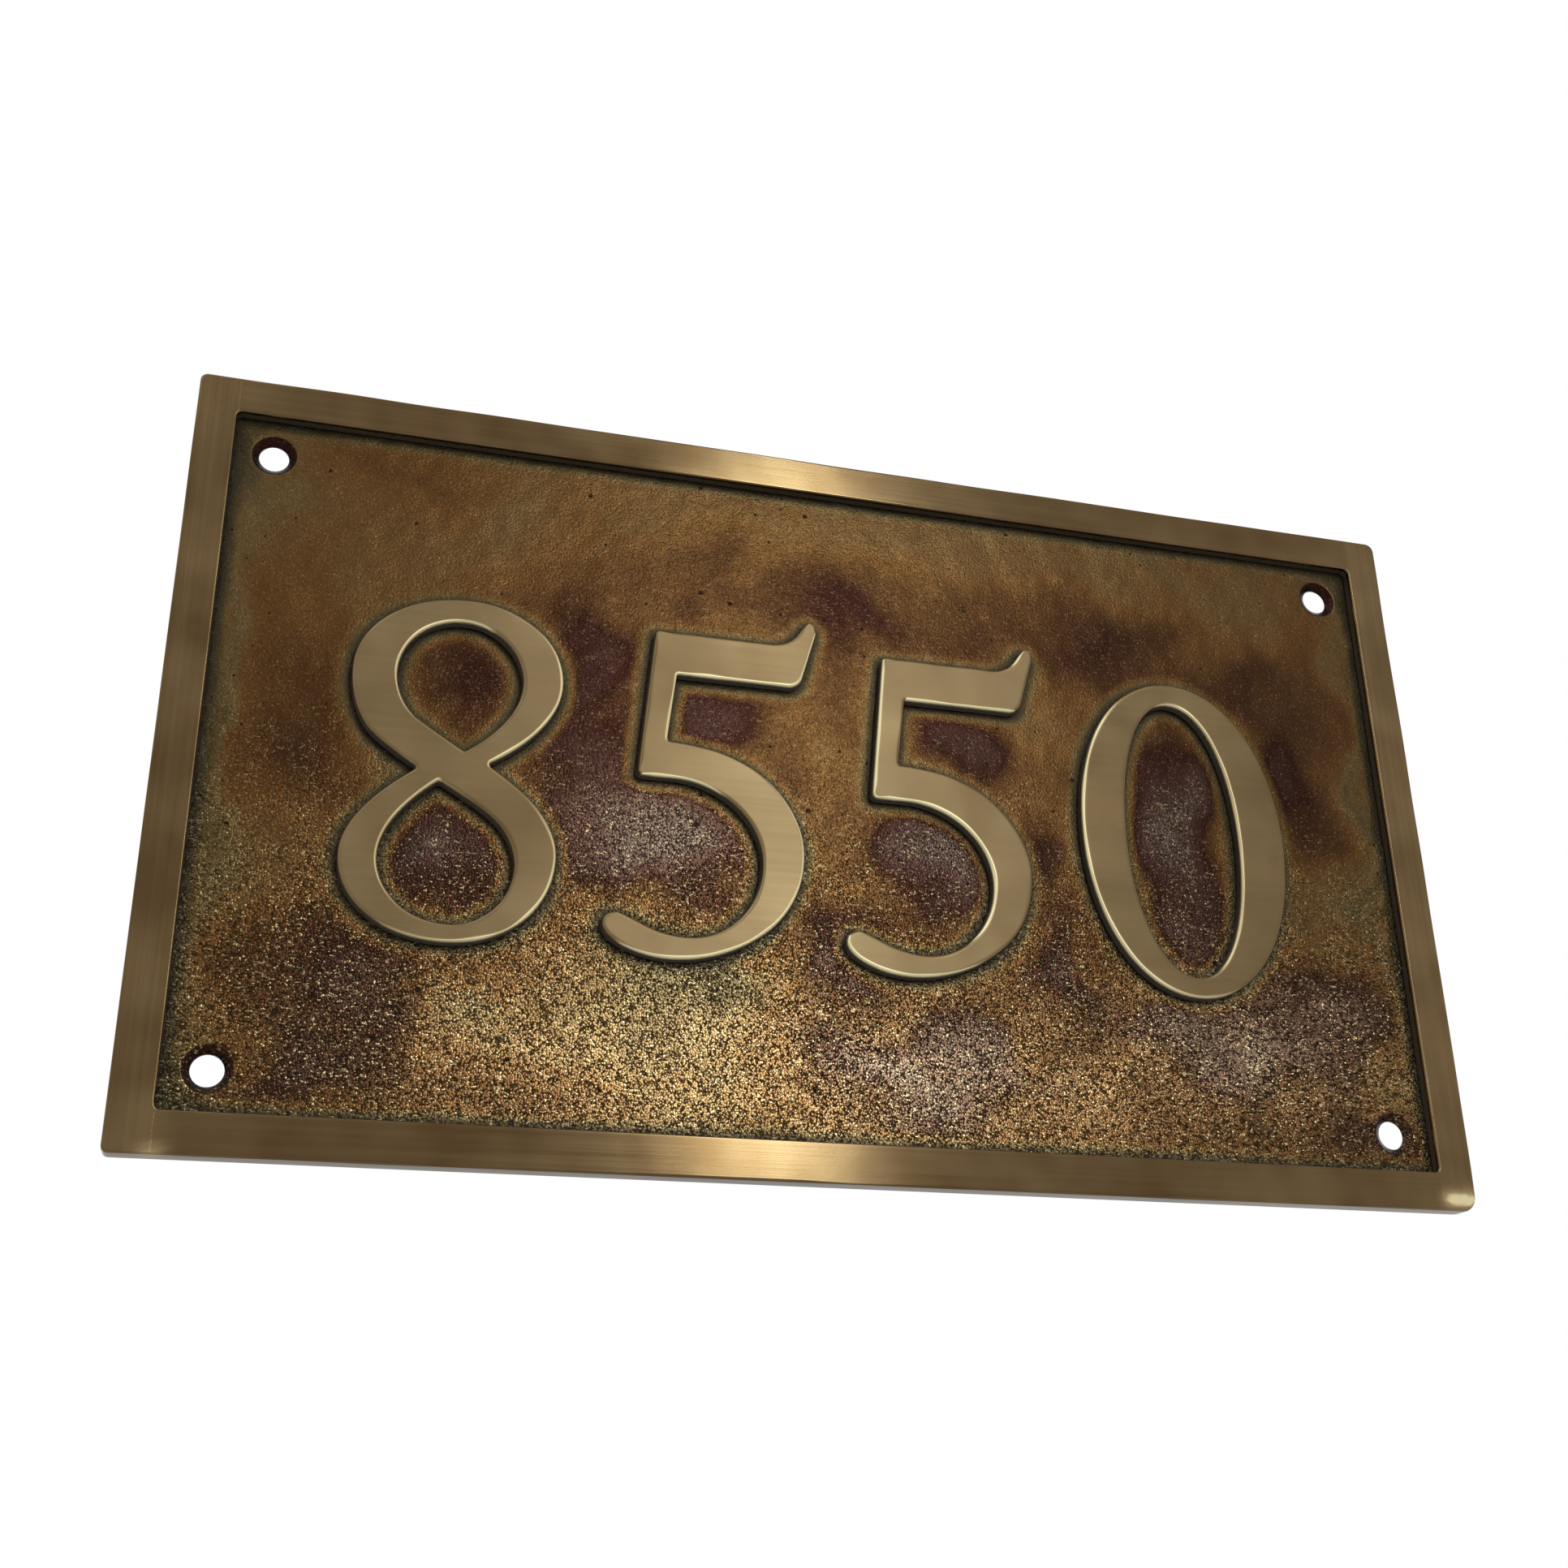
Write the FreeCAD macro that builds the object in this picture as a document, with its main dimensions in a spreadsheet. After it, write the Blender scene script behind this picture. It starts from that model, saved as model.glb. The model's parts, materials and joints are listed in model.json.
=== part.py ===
"""House number plaque: a brass plate with a raised border, raised numerals and four countersunk holes.

Frame: upright as it hangs. +X is the reader's right, +Z is up, and the face looks towards -Y.
The origin is the centre of the flat back. Every size is in millimetres.
"""
import FreeCAD, Part
import Sketcher
import math
import os

Vector = FreeCAD.Vector

# Driving sizes, kept in the sheet under these names
SIZES = {
    "plate_width": 215.9,
    "plate_height": 127.0,
    "web_thickness": 1.5,
    "relief": 1.9,
    "border_width": 6.35,
    "plate_corner_radius": 1.6,
    "recess_corner_radius": 0.9,
    "hole_diameter": 4.76,
    "hole_inset_x": 12.7,
    "hole_inset_z": 12.7,
    "countersink_diameter": 7.0,
    "countersink_angle": 100.0,
    "numeral_height": 57.9,
    "numeral_drop": 1.2,
    "first_gap": 7.1,
    "second_gap": 3.8,
    "third_gap": 7.0,
    "numeral_nook_radius": 0.45,
    "numeral_rounding": 0.55,
    "border_rounding": 0.45,
}

# The numerals on the plaque from the reader's left to right, and the gaps between them
NUMERALS = ["eight", "five", "five", "nought"]
GAPS = ["first_gap", "second_gap", "third_gap"]

# A numeral is drawn with x from its left side and y from its foot, on a body this many units high
BODY_UNITS = 100.0

# How near two places must be to count as one, and how far an edge's box may stand out past its curve
NEAR = 0.01
SLACK = 0.5

# An arc that swings less than this, in radians, is drawn as a line
STRAIGHT = 0.002

# A bow that turns less than this, in degrees, needs only one pair of arcs
SHORT_TURN = 75.0


def unit(a, b):
    """The direction from one point to another."""
    length = math.hypot(b[0] - a[0], b[1] - a[1])
    return ((b[0] - a[0]) / length, (b[1] - a[1]) / length)


def rounded(before, corner, after, radius):
    """The three points of the arc that rounds a corner: its start, its middle and its end."""
    back = unit(corner, before)
    on = unit(corner, after)
    half = math.acos(back[0] * on[0] + back[1] * on[1]) / 2
    reach = radius / math.tan(half)
    depth = radius / math.sin(half) - radius
    inward = unit((0, 0), (back[0] + on[0], back[1] + on[1]))
    start = (corner[0] + back[0] * reach, corner[1] + back[1] * reach)
    middle = (corner[0] + inward[0] * depth, corner[1] + inward[1] * depth)
    end = (corner[0] + on[0] * reach, corner[1] + on[1] * reach)
    return [start, middle, end]


def arc_from(start, leave, end):
    """The three points of the arc that leaves start in a direction and reaches end, or two if straight."""
    chord = (end[0] - start[0], end[1] - start[1])
    sine = chord[0] * leave[1] - chord[1] * leave[0]
    swing = math.atan2(sine, chord[0] * leave[0] + chord[1] * leave[1])
    if abs(swing) < STRAIGHT:
        return [start, end]
    bulge = math.tan(swing / 2) / 2
    middle = ((start[0] + end[0]) / 2 - chord[1] * bulge, (start[1] + end[1]) / 2 + chord[0] * bulge)
    return [start, middle, end]


def twin_arcs(start, leave, end, arrive):
    """The two arcs that leave start and reach end in given directions, and meet smoothly between them."""
    gap = (end[0] - start[0], end[1] - start[1])
    along = gap[0] * (leave[0] + arrive[0]) + gap[1] * (leave[1] + arrive[1])
    spread = 2 * (1 - leave[0] * arrive[0] - leave[1] * arrive[1])
    square = gap[0] ** 2 + gap[1] ** 2
    reach = square / (2 * along)
    if spread > STRAIGHT ** 2:
        reach = (math.sqrt(along ** 2 + spread * square) - along) / spread
    meet = (
        (start[0] + end[0] + reach * (leave[0] - arrive[0])) / 2,
        (start[1] + end[1] + reach * (leave[1] - arrive[1])) / 2,
    )
    first = arc_from(start, leave, meet)
    second = arc_from(end, (-arrive[0], -arrive[1]), meet)
    return [first, second[::-1]]


def bow(start, end, fullness):
    """Tangent arcs along a smooth bow from one node to the next. A node is (x, y, direction in degrees).

    A long bow first meets its own middle, which lies on a cubic curve. The cubic's handles reach the share
    of the way to where the two tangents cross that makes an ellipse's arc, times the fullness: over 1 is
    squarer, under 1 flatter.
    """
    leave = (math.cos(math.radians(start[2])), math.sin(math.radians(start[2])))
    arrive = (math.cos(math.radians(end[2])), math.sin(math.radians(end[2])))
    turn = math.acos(leave[0] * arrive[0] + leave[1] * arrive[1])
    if turn < math.radians(SHORT_TURN):
        return twin_arcs(start[:2], leave, end[:2], arrive)
    gap = (end[0] - start[0], end[1] - start[1])
    turned = leave[0] * arrive[1] - leave[1] * arrive[0]
    share = fullness * 4 / 3 * math.tan(turn / 4) / math.tan(turn / 2)
    out = (gap[0] * arrive[1] - gap[1] * arrive[0]) / turned * share
    back = (leave[0] * gap[1] - leave[1] * gap[0]) / turned * share
    first = (start[0] + leave[0] * out, start[1] + leave[1] * out)
    second = (end[0] - arrive[0] * back, end[1] - arrive[1] * back)
    middle = (
        (start[0] + 3 * first[0] + 3 * second[0] + end[0]) / 8,
        (start[1] + 3 * first[1] + 3 * second[1] + end[1]) / 8,
    )
    across = unit((start[0] + first[0], start[1] + first[1]), (second[0] + end[0], second[1] + end[1]))
    return twin_arcs(start[:2], leave, middle, across) + twin_arcs(middle, across, end[:2], arrive)


def bows(nodes, fullness=1.0):
    """Tangent arcs through every node of a smooth stretch."""
    pieces = []
    for index in range(len(nodes) - 1):
        pieces += bow(nodes[index], nodes[index + 1], fullness)
    return pieces


def numeral_eight():
    """Two bowls that cross at the waist, with a heavy stroke falling from upper left to lower right."""
    left_notch = (19.0, 48.1)
    right_notch = (37.5, 50.9)
    upper_bowl = [left_notch + (148,), (4.6, 59.2, 124), (0.0, 75.4, 90), (31.0, 100.0, 0),
                  (57.4, 77.2, -90), right_notch + (-149,)]
    lower_bowl = [right_notch + (-31,), (57.0, 26.0, -90), (28.4, 0.0, 180), (0.2, 22.2, 90),
                  left_notch + (37,)]
    upper_point = (31.3, 54.1)
    upper_counter = [upper_point + (148,), (17.6, 63.0, 139), (12.2, 75.6, 90), (29.6, 92.8, 0),
                     (46.0, 76.0, -90), upper_point + (-145,)]
    lower_point = (25.0, 44.8)
    lower_counter = [lower_point + (-29,), (38.6, 36.2, -38), (45.7, 22.4, -90), (29.2, 5.1, 180),
                     (10.4, 22.2, 90), lower_point + (38,)]
    outer = bows(upper_bowl, 1.02) + bows(lower_bowl, 1.05)
    return {
        "width": 57.3,
        "outlines": [outer, bows(upper_counter), bows(lower_counter)],
        "nooks": [left_notch, right_notch, upper_point, lower_point],
    }


def numeral_five():
    """A leaning stem, a bar that flicks up at its right end, and an open bowl with a rounded tail."""
    stem_foot = (8.8, 52.3)
    stem_head = (13.5, 97.7)
    bar_end = (47.5, 97.7)
    flick_side = (61.2, 101.8)
    bar_corner = (56.0, 84.4)
    armpit = (20.0, 84.4)
    bowl_root = (17.3, 63.5)
    bowl_end = (19.0, 52.3)
    stem_rounding = 1.6
    bar_rounding = 4.6
    foot_arc = rounded(bowl_end, stem_foot, stem_head, stem_rounding)
    head_arc = rounded(stem_foot, stem_head, bar_end, stem_rounding)
    bar_arc = rounded(flick_side, bar_corner, armpit, bar_rounding)
    down_side = unit(flick_side, bar_corner)
    flick = [bar_end + (0,), (56.2, 102.4, 58), (59.2, 105.8, 0),
             flick_side + (math.degrees(math.atan2(down_side[1], down_side[0])),)]
    bowl = [bowl_root + (0,), (45.8, 54.9, -41), (56.6, 33.2, -90), (45.6, 9.6, -141), (18.6, 0.0, 180),
            (4.6, 3.4, 152), (0.0, 8.8, 90), (4.0, 12.2, 0), (11.6, 9.2, -25), (23.0, 6.6, 0),
            (44.4, 29.6, 90), bowl_end + (180,)]
    outline = [foot_arc, [foot_arc[2], head_arc[0]], head_arc, [head_arc[2], bar_end]]
    outline += bows(flick)
    outline += [[flick_side, bar_arc[0]], bar_arc, [bar_arc[2], armpit], [armpit, bowl_root]]
    outline += bows(bowl)
    outline += [[bowl_end, foot_arc[0]]]
    return {"width": 61.5, "outlines": [outline], "nooks": [armpit, bowl_root]}


def numeral_nought():
    """A tall oval ring, heavy at the sides and thin at the top and foot."""
    outer = [(66.0, 50.0, 90), (33.0, 100.0, 180), (0.0, 50.0, -90), (33.0, 0.0, 0), (66.0, 50.0, 90)]
    counter = [(50.8, 49.6, 90), (32.0, 92.8, 180), (14.2, 49.0, -90), (33.0, 6.3, 0), (50.8, 49.6, 90)]
    return {"width": 66.0, "outlines": [bows(outer, 1.04), bows(counter, 1.06)], "nooks": []}


DRAWN = {"eight": numeral_eight, "five": numeral_five, "nought": numeral_nought}


def make_sheet(doc):
    """Writes the driving sizes into the sheet, one row each: the name, then the value under that alias."""
    sheet = doc.addObject("Spreadsheet::Sheet", "sizes")
    for row, (name, value) in enumerate(SIZES.items(), start=1):
        sheet.set("A%d" % row, name)
        sheet.set("B%d" % row, str(value))
        sheet.setAlias("B%d" % row, name)
    doc.recompute()
    return sheet


def front_sketch(body, name, height=None):
    """A sketch that faces the reader, on the back plane or held off it by a height from the sheet."""
    plane = [item for item in body.Origin.OriginFeatures if item.Role == "XZ_Plane"][0]
    sketch = body.newObject("Sketcher::SketchObject", name)
    sketch.AttachmentSupport = [(plane, "")]
    sketch.MapMode = "FlatFace"
    if height:
        sketch.setExpression("AttachmentOffset.Base.z", height)
    return sketch


def add_rectangle(sketch, width, height):
    """A rectangle centred on the origin, its two sizes bound to the sheet."""
    guess = 20.0
    corners = [(-guess, -guess), (guess, -guess), (guess, guess), (-guess, guess)]
    first = sketch.GeometryCount
    for index in range(4):
        start = corners[index]
        end = corners[(index + 1) % 4]
        sketch.addGeometry(Part.LineSegment(Vector(start[0], start[1], 0), Vector(end[0], end[1], 0)))
    for index in range(4):
        joint = Sketcher.Constraint("Coincident", first + index, 2, first + (index + 1) % 4, 1)
        sketch.addConstraint(joint)
        direction = "Horizontal" if index % 2 == 0 else "Vertical"
        sketch.addConstraint(Sketcher.Constraint(direction, first + index))
    sketch.addConstraint(Sketcher.Constraint("Symmetric", first, 1, first + 2, 1, -1, 1))
    across = sketch.addConstraint(Sketcher.Constraint("DistanceX", first, 1, first, 2, 2 * guess))
    up = sketch.addConstraint(Sketcher.Constraint("DistanceY", first + 1, 1, first + 1, 2, 2 * guess))
    sketch.setExpression("Constraints[%d]" % across, width)
    sketch.setExpression("Constraints[%d]" % up, height)


def add_outline(sketch, pieces, scale):
    """Draws one closed outline: a piece of two points is a line, and one of three is an arc."""
    for piece in pieces:
        points = [Vector(x * scale, y * scale, 0) for x, y in piece]
        if len(points) == 2:
            sketch.addGeometry(Part.LineSegment(points[0], points[1]))
        else:
            sketch.addGeometry(Part.Arc(points[0], points[1], points[2]))


def add_pad(body, sketch, name, length):
    """Raises a sketch towards the reader by a length from the sheet."""
    pad = body.newObject("PartDesign::Pad", name)
    pad.Profile = sketch
    pad.setExpression("Length", length)
    return pad


def add_numerals(doc, body, sheet, front):
    """Raises the numerals side by side, centred across the plate as one group, and rounds each."""
    scale = sheet.numeral_height / BODY_UNITS
    shapes = [DRAWN[numeral]() for numeral in NUMERALS]
    group_units = sum(shape["width"] for shape in shapes)
    per_unit = "sizes.numeral_height / %g" % BODY_UNITS
    group = "(%s * %g + %s)" % (per_unit, group_units, " + ".join("sizes." + gap for gap in GAPS))
    units_before = 0.0
    for place, shape in enumerate(shapes):
        name = "numeral_%d" % (place + 1)
        sketch = front_sketch(body, name + "_outline", "sizes.web_thickness")
        for pieces in shape["outlines"]:
            add_outline(sketch, pieces, scale)
        gaps_before = "".join(" + sizes." + gap for gap in GAPS[:place])
        left = "%s * %g%s - %s / 2" % (per_unit, units_before, gaps_before, group)
        sketch.setExpression("AttachmentOffset.Base.x", left)
        sketch.setExpression("AttachmentOffset.Base.y", "-sizes.numeral_height / 2 - sizes.numeral_drop")
        add_pad(body, sketch, name, "sizes.relief")
        doc.recompute()
        start = sketch.Placement.Base.x
        base = sketch.Placement.Base.z
        end = start + shape["width"] * scale
        nooks = [(start + x * scale, base + y * scale) for x, y in shape["nooks"]]
        if nooks:
            round_edges(doc, body, name + "_nooks", "sizes.numeral_nook_radius",
                        lambda box: runs_through_any(box, nooks))
        round_edges(doc, body, name + "_edges", "sizes.numeral_rounding",
                    lambda box: lies_at(box, front) and box.XMin > start - SLACK and box.XMax < end + SLACK)
        units_before += shape["width"]


def add_holes(doc, body):
    """Four countersunk screw holes, one near each corner of the web."""
    sketch = front_sketch(body, "screw_points", "sizes.web_thickness")
    guess = 20.0
    for side in (-1, 1):
        for level in (-1, 1):
            centre = Vector(side * guess, level * guess, 0)
            index = sketch.addGeometry(Part.Circle(centre, Vector(0, 0, 1), guess / 4))
            bore = sketch.addConstraint(Sketcher.Constraint("Diameter", index, guess / 2))
            sketch.setExpression("Constraints[%d]" % bore, "sizes.hole_diameter")
            for kind, sign, span, inset in (("DistanceX", side, "plate_width", "hole_inset_x"),
                                            ("DistanceY", level, "plate_height", "hole_inset_z")):
                ends = (-1, 1, index, 3) if sign > 0 else (index, 3, -1, 1)
                reach = sketch.addConstraint(Sketcher.Constraint(kind, *ends, guess))
                sketch.setExpression("Constraints[%d]" % reach, "sizes.%s / 2 - sizes.%s" % (span, inset))
    doc.recompute()
    hole = body.newObject("PartDesign::Hole", "screw_holes")
    hole.Profile = sketch
    hole.DepthType = "ThroughAll"
    hole.HoleCutType = "Countersink"
    hole.setExpression("Diameter", "sizes.hole_diameter")
    hole.setExpression("HoleCutDiameter", "sizes.countersink_diameter")
    hole.setExpression("HoleCutCountersinkAngle", "sizes.countersink_angle")
    doc.recompute()
    return hole


def lies_at(box, y):
    """True for an edge that lies flat at this depth."""
    return abs(box.YMin - y) < NEAR and abs(box.YMax - y) < NEAR


def runs_through(box, x, z):
    """True for an edge that runs straight to the reader at this place on the face."""
    straight = box.YLength > NEAR and box.XLength < NEAR and box.ZLength < NEAR
    return straight and abs(box.XMin - x) < NEAR and abs(box.ZMin - z) < NEAR


def runs_through_any(box, places):
    """True for an edge that runs straight to the reader at one of these places."""
    return any(runs_through(box, x, z) for x, z in places)


def corners(half_width, half_height):
    """The four corners of a rectangle round the middle."""
    return [(side * half_width, level * half_height) for side in (-1, 1) for level in (-1, 1)]


def round_edges(doc, body, name, radius, wanted):
    """Rounds the edges of the body, as it stands, that a test on an edge's box picks out."""
    names = []
    for index, edge in enumerate(body.Tip.Shape.Edges, start=1):
        if wanted(edge.BoundBox):
            names.append("Edge%d" % index)
    if not names:
        raise RuntimeError("no edge found for " + name)
    base = body.Tip
    fillet = body.newObject("PartDesign::Fillet", name)
    fillet.Base = (base, names)
    fillet.setExpression("Radius", radius)
    doc.recompute()
    return fillet


def make_plaque(doc, sheet):
    """The web, the border with its rounded corners and edges, the numerals, and then the screw holes."""
    body = doc.addObject("PartDesign::Body", "plaque")
    body.Label = "plaque"

    web_outline = front_sketch(body, "web_outline")
    add_rectangle(web_outline, "sizes.plate_width", "sizes.plate_height")
    add_pad(body, web_outline, "web", "sizes.web_thickness")

    border_outline = front_sketch(body, "border_outline", "sizes.web_thickness")
    add_rectangle(border_outline, "sizes.plate_width", "sizes.plate_height")
    add_rectangle(border_outline, "sizes.plate_width - 2 * sizes.border_width",
                  "sizes.plate_height - 2 * sizes.border_width")
    add_pad(body, border_outline, "border", "sizes.relief")
    doc.recompute()

    half_width = sheet.plate_width / 2
    half_height = sheet.plate_height / 2
    inner_half_width = half_width - sheet.border_width
    inner_half_height = half_height - sheet.border_width
    front = -sheet.web_thickness - sheet.relief
    round_edges(doc, body, "plate_corners", "sizes.plate_corner_radius",
                lambda box: runs_through_any(box, corners(half_width, half_height)))
    round_edges(doc, body, "recess_corners", "sizes.recess_corner_radius",
                lambda box: runs_through_any(box, corners(inner_half_width, inner_half_height)))
    round_edges(doc, body, "border_edges", "sizes.border_rounding", lambda box: lies_at(box, front))

    add_numerals(doc, body, sheet, front)
    uncut = body.Shape.Volume
    add_holes(doc, body)
    if body.Shape.Volume >= uncut:
        raise RuntimeError("the screw holes cut nothing")
    return body


def check(doc, bodies):
    """Stops if any object failed, or a body has no sound solid."""
    for item in doc.Objects:
        if "Invalid" in item.State or "Error" in item.State:
            raise RuntimeError("%s failed: %s" % (item.Name, item.State))
    for body in bodies:
        shape = body.Shape
        if shape.isNull() or not shape.isValid() or len(shape.Solids) != 1:
            raise RuntimeError("%s is not one sound solid" % body.Label)


def main():
    doc = FreeCAD.newDocument("house_number_plaque")
    sheet = make_sheet(doc)
    bodies = [make_plaque(doc, sheet)]
    doc.recompute()
    check(doc, bodies)
    os.makedirs("parts", exist_ok=True)
    for body in bodies:
        body.Shape.exportStep("parts/%s.step" % body.Label)
        box = body.Shape.optimalBoundingBox()
        print("%s: %.2f x %.2f x %.2f mm" % (body.Label, box.XLength, box.YLength, box.ZLength))
        print("volume %.1f mm3, %d faces" % (body.Shape.Volume, len(body.Shape.Faces)))


main()
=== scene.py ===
"""House number plaque in antique brass, set out as a Blender add-on and run as a script.

The plaque is one casting: a flat web with a sandy field, a raised brushed border, four raised
numerals and four countersunk screw holes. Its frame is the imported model's: metres, +X to the
reader's right, +Z up, the face towards -Y and the flat back on Y = 0. Shapes are worked out in
millimetres and scaled once, when they become a mesh.
"""
import json
import math

import bpy
import numpy as np
from bpy.props import FloatProperty, FloatVectorProperty, PointerProperty
from bpy.types import Operator, Panel, PropertyGroup
from mathutils import Matrix, Vector
from mathutils.geometry import delaunay_2d_cdt


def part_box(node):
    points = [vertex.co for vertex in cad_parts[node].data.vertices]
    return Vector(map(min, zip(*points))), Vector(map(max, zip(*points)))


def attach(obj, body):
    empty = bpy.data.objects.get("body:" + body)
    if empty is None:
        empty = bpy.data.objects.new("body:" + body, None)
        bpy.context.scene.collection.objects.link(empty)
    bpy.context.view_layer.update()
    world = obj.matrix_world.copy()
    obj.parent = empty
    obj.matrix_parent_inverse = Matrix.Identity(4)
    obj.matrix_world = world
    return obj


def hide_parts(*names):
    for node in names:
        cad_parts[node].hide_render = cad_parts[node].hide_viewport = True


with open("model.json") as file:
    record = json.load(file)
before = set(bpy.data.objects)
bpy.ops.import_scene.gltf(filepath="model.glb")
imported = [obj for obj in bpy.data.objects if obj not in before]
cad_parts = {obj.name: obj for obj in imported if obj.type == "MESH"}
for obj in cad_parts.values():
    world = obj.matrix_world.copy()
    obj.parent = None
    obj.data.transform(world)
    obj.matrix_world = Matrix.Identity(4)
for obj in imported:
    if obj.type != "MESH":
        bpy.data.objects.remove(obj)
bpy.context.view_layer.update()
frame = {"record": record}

bl_info = {
    "name": "House Number Plaque",
    "version": (1, 0, 0),
    "blender": (4, 5, 0),
    "location": "3D View > Sidebar > Plaque",
    "description": "Builds an antique brass house number plaque and the stage it is seen on",
    "category": "Object",
}

MM = 0.001

# The plate's half sizes, its front and its screw holes in millimetres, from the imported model
LOW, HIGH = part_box("plaque")
HALF_WIDTH = (HIGH[0] - LOW[0]) / 2 / MM
HALF_HEIGHT = (HIGH[2] - LOW[2]) / 2 / MM
FRONT = LOW[1] / MM
HOLES = [mount for mount in frame["record"]["mounts"] if mount["kind"] == "bolt_pattern"][0]["dims"]
HOLE_X = HOLES["spacing_x_mm"] / 2
HOLE_Z = HOLES["spacing_y_mm"] / 2
BORE_RADIUS = HOLES["hole_r_mm"]

# The numerals from the reader's left, each with the width in millimetres over which its face slopes off
NUMERALS = (("eight", 0.8), ("five", 0.95), ("five", 0.9), ("nought", 1.15))

# Where the side borders' upright sanding marks meet the level ones, from the middle in millimetres
JOINT = 101.6

# The field's grid has this many cells to the inch, so that its lines meet the screw holes' middles
CELLS_PER_INCH = 28

# A numeral is drawn with x from its left side and y from its foot, on a body this many units high
BODY_UNITS = 100.0

# How far a numeral's face slopes off before its rounded edge, and how deep its shell stands in the
# field, in millimetres
FACE_SLOPE = 0.05
SUNK = 0.25

# The slants at the plate's back edge and at each bore's, and the small lip round each countersink, in
# millimetres
BACK_EDGE = 0.15
BORE_EDGE = 0.05
LIP = 0.12

# A face this far in from the plate's sides, or further, is a numeral's and not the border's, in
# millimetres
NUMERALS_INSET = 10.0

# Names of the mesh's layers, and the places of its materials
TO_RELIEF = "to_relief"
HEAT = "flame_heat"
POLISH_AND_PAINTED_LIGHT = "polish_and_painted_light"
BRUSHED, FIELD, BACK = range(3)


class PlaqueSizes(PropertyGroup):
    """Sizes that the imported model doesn't state by name."""

    border_width: FloatProperty(
        name="Border Width", description="From the plate's edge to the recessed field",
        default=0.00635, unit="LENGTH")
    web_thickness: FloatProperty(
        name="Web Thickness", description="From the back to the recessed field",
        default=0.0015, unit="LENGTH")
    recess_corner: FloatProperty(
        name="Recess Corner", description="Corner radius of the recessed field",
        default=0.0009, unit="LENGTH")
    edge_width: FloatProperty(
        name="Border Edge Width", description="How far in the border's softened edges reach",
        default=0.0003, unit="LENGTH")
    edge_height: FloatProperty(
        name="Edge Height", description="How far down a wall a softened edge reaches",
        default=0.0004, unit="LENGTH")
    numeral_edge: FloatProperty(
        name="Numeral Edge", description="Radius of the numerals' softened edges",
        default=0.0005, unit="LENGTH")
    countersink_radius: FloatProperty(
        name="Countersink Radius", description="At the mouth of each screw hole",
        default=0.0035, unit="LENGTH")
    countersink_depth: FloatProperty(
        name="Countersink Depth", description="From the field to the straight bore",
        default=0.00094, unit="LENGTH")
    numeral_height: FloatProperty(
        name="Numeral Height", description="From the foot of a round numeral to its top",
        default=0.0579, unit="LENGTH")
    numeral_drop: FloatProperty(
        name="Numeral Drop", description="How far the numerals' middle hangs below the plate's",
        default=0.0012, unit="LENGTH")
    numeral_gaps: FloatVectorProperty(
        name="Numeral Gaps", description="Between each numeral and the next",
        default=(0.0071, 0.0038, 0.0070), size=3, unit="LENGTH")
    nook_radius: FloatProperty(
        name="Nook Radius", description="In the sharp inward corners of the numerals",
        default=0.00045, unit="LENGTH")
    waviness: FloatProperty(
        name="Field Waviness", description="Height of the slow swells that casting left in the field",
        default=0.00004, unit="LENGTH")


class PlaqueFinish(PropertyGroup):
    """Colours of the aged brass, and of the highlights, sheen and glints painted on it."""

    brass: FloatVectorProperty(
        name="Brushed Brass", description="The border's and numerals' sanded faces",
        default=(0.079, 0.047, 0.0205), size=3, subtype="COLOR")
    bright: FloatVectorProperty(
        name="Bright Brass", description="Where sanding or handling has rubbed the metal clean",
        default=(0.29, 0.205, 0.103), size=3, subtype="COLOR")
    olive: FloatVectorProperty(
        name="Olive", description="The field beside the relief and in the corners",
        default=(0.033, 0.027, 0.013), size=3, subtype="COLOR")
    gold: FloatVectorProperty(
        name="Gold", description="The field where the flame barely touched it",
        default=(0.094, 0.058, 0.0225), size=3, subtype="COLOR")
    rust: FloatVectorProperty(
        name="Orange Brown", description="The field under moderate heat",
        default=(0.086, 0.039, 0.012), size=3, subtype="COLOR")
    # Painted sheen colour, for the field where the lamp's glow falls
    sheen_gold: FloatVectorProperty(
        name="Pale Gold", description="The field where its patina has worn thin",
        default=(0.31, 0.20, 0.095), size=3, subtype="COLOR")
    maroon: FloatVectorProperty(
        name="Maroon", description="The field under more heat",
        default=(0.022, 0.0072, 0.0046), size=3, subtype="COLOR")
    violet: FloatVectorProperty(
        name="Violet", description="The field under strong heat",
        default=(0.040, 0.0185, 0.0150), size=3, subtype="COLOR")
    mauve: FloatVectorProperty(
        name="Greyish Mauve", description="The field in the middle of the hottest patches",
        default=(0.066, 0.043, 0.033), size=3, subtype="COLOR")
    # Painted highlight colour, for edges and corners that face the lamp's glow
    painted_highlight: FloatVectorProperty(
        name="Painted Highlight", description="Edges that the sanding block has rubbed smooth",
        default=(0.62, 0.53, 0.31), size=3, subtype="COLOR")
    # Painted glint colour, for flecks where the lamp would sparkle on the grains
    painted_glint: FloatVectorProperty(
        name="Glint", description="Grains of the field that are rubbed bright",
        default=(0.60, 0.46, 0.23), size=3, subtype="COLOR")
    grime: FloatVectorProperty(
        name="Grime", description="Matt dirt on the walls that no sanding reaches",
        default=(0.040, 0.029, 0.016), size=3, subtype="COLOR")
    soot: FloatVectorProperty(
        name="Soot", description="The dark line at the foot of the walls",
        default=(0.012, 0.0075, 0.0038), size=3, subtype="COLOR")


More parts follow.
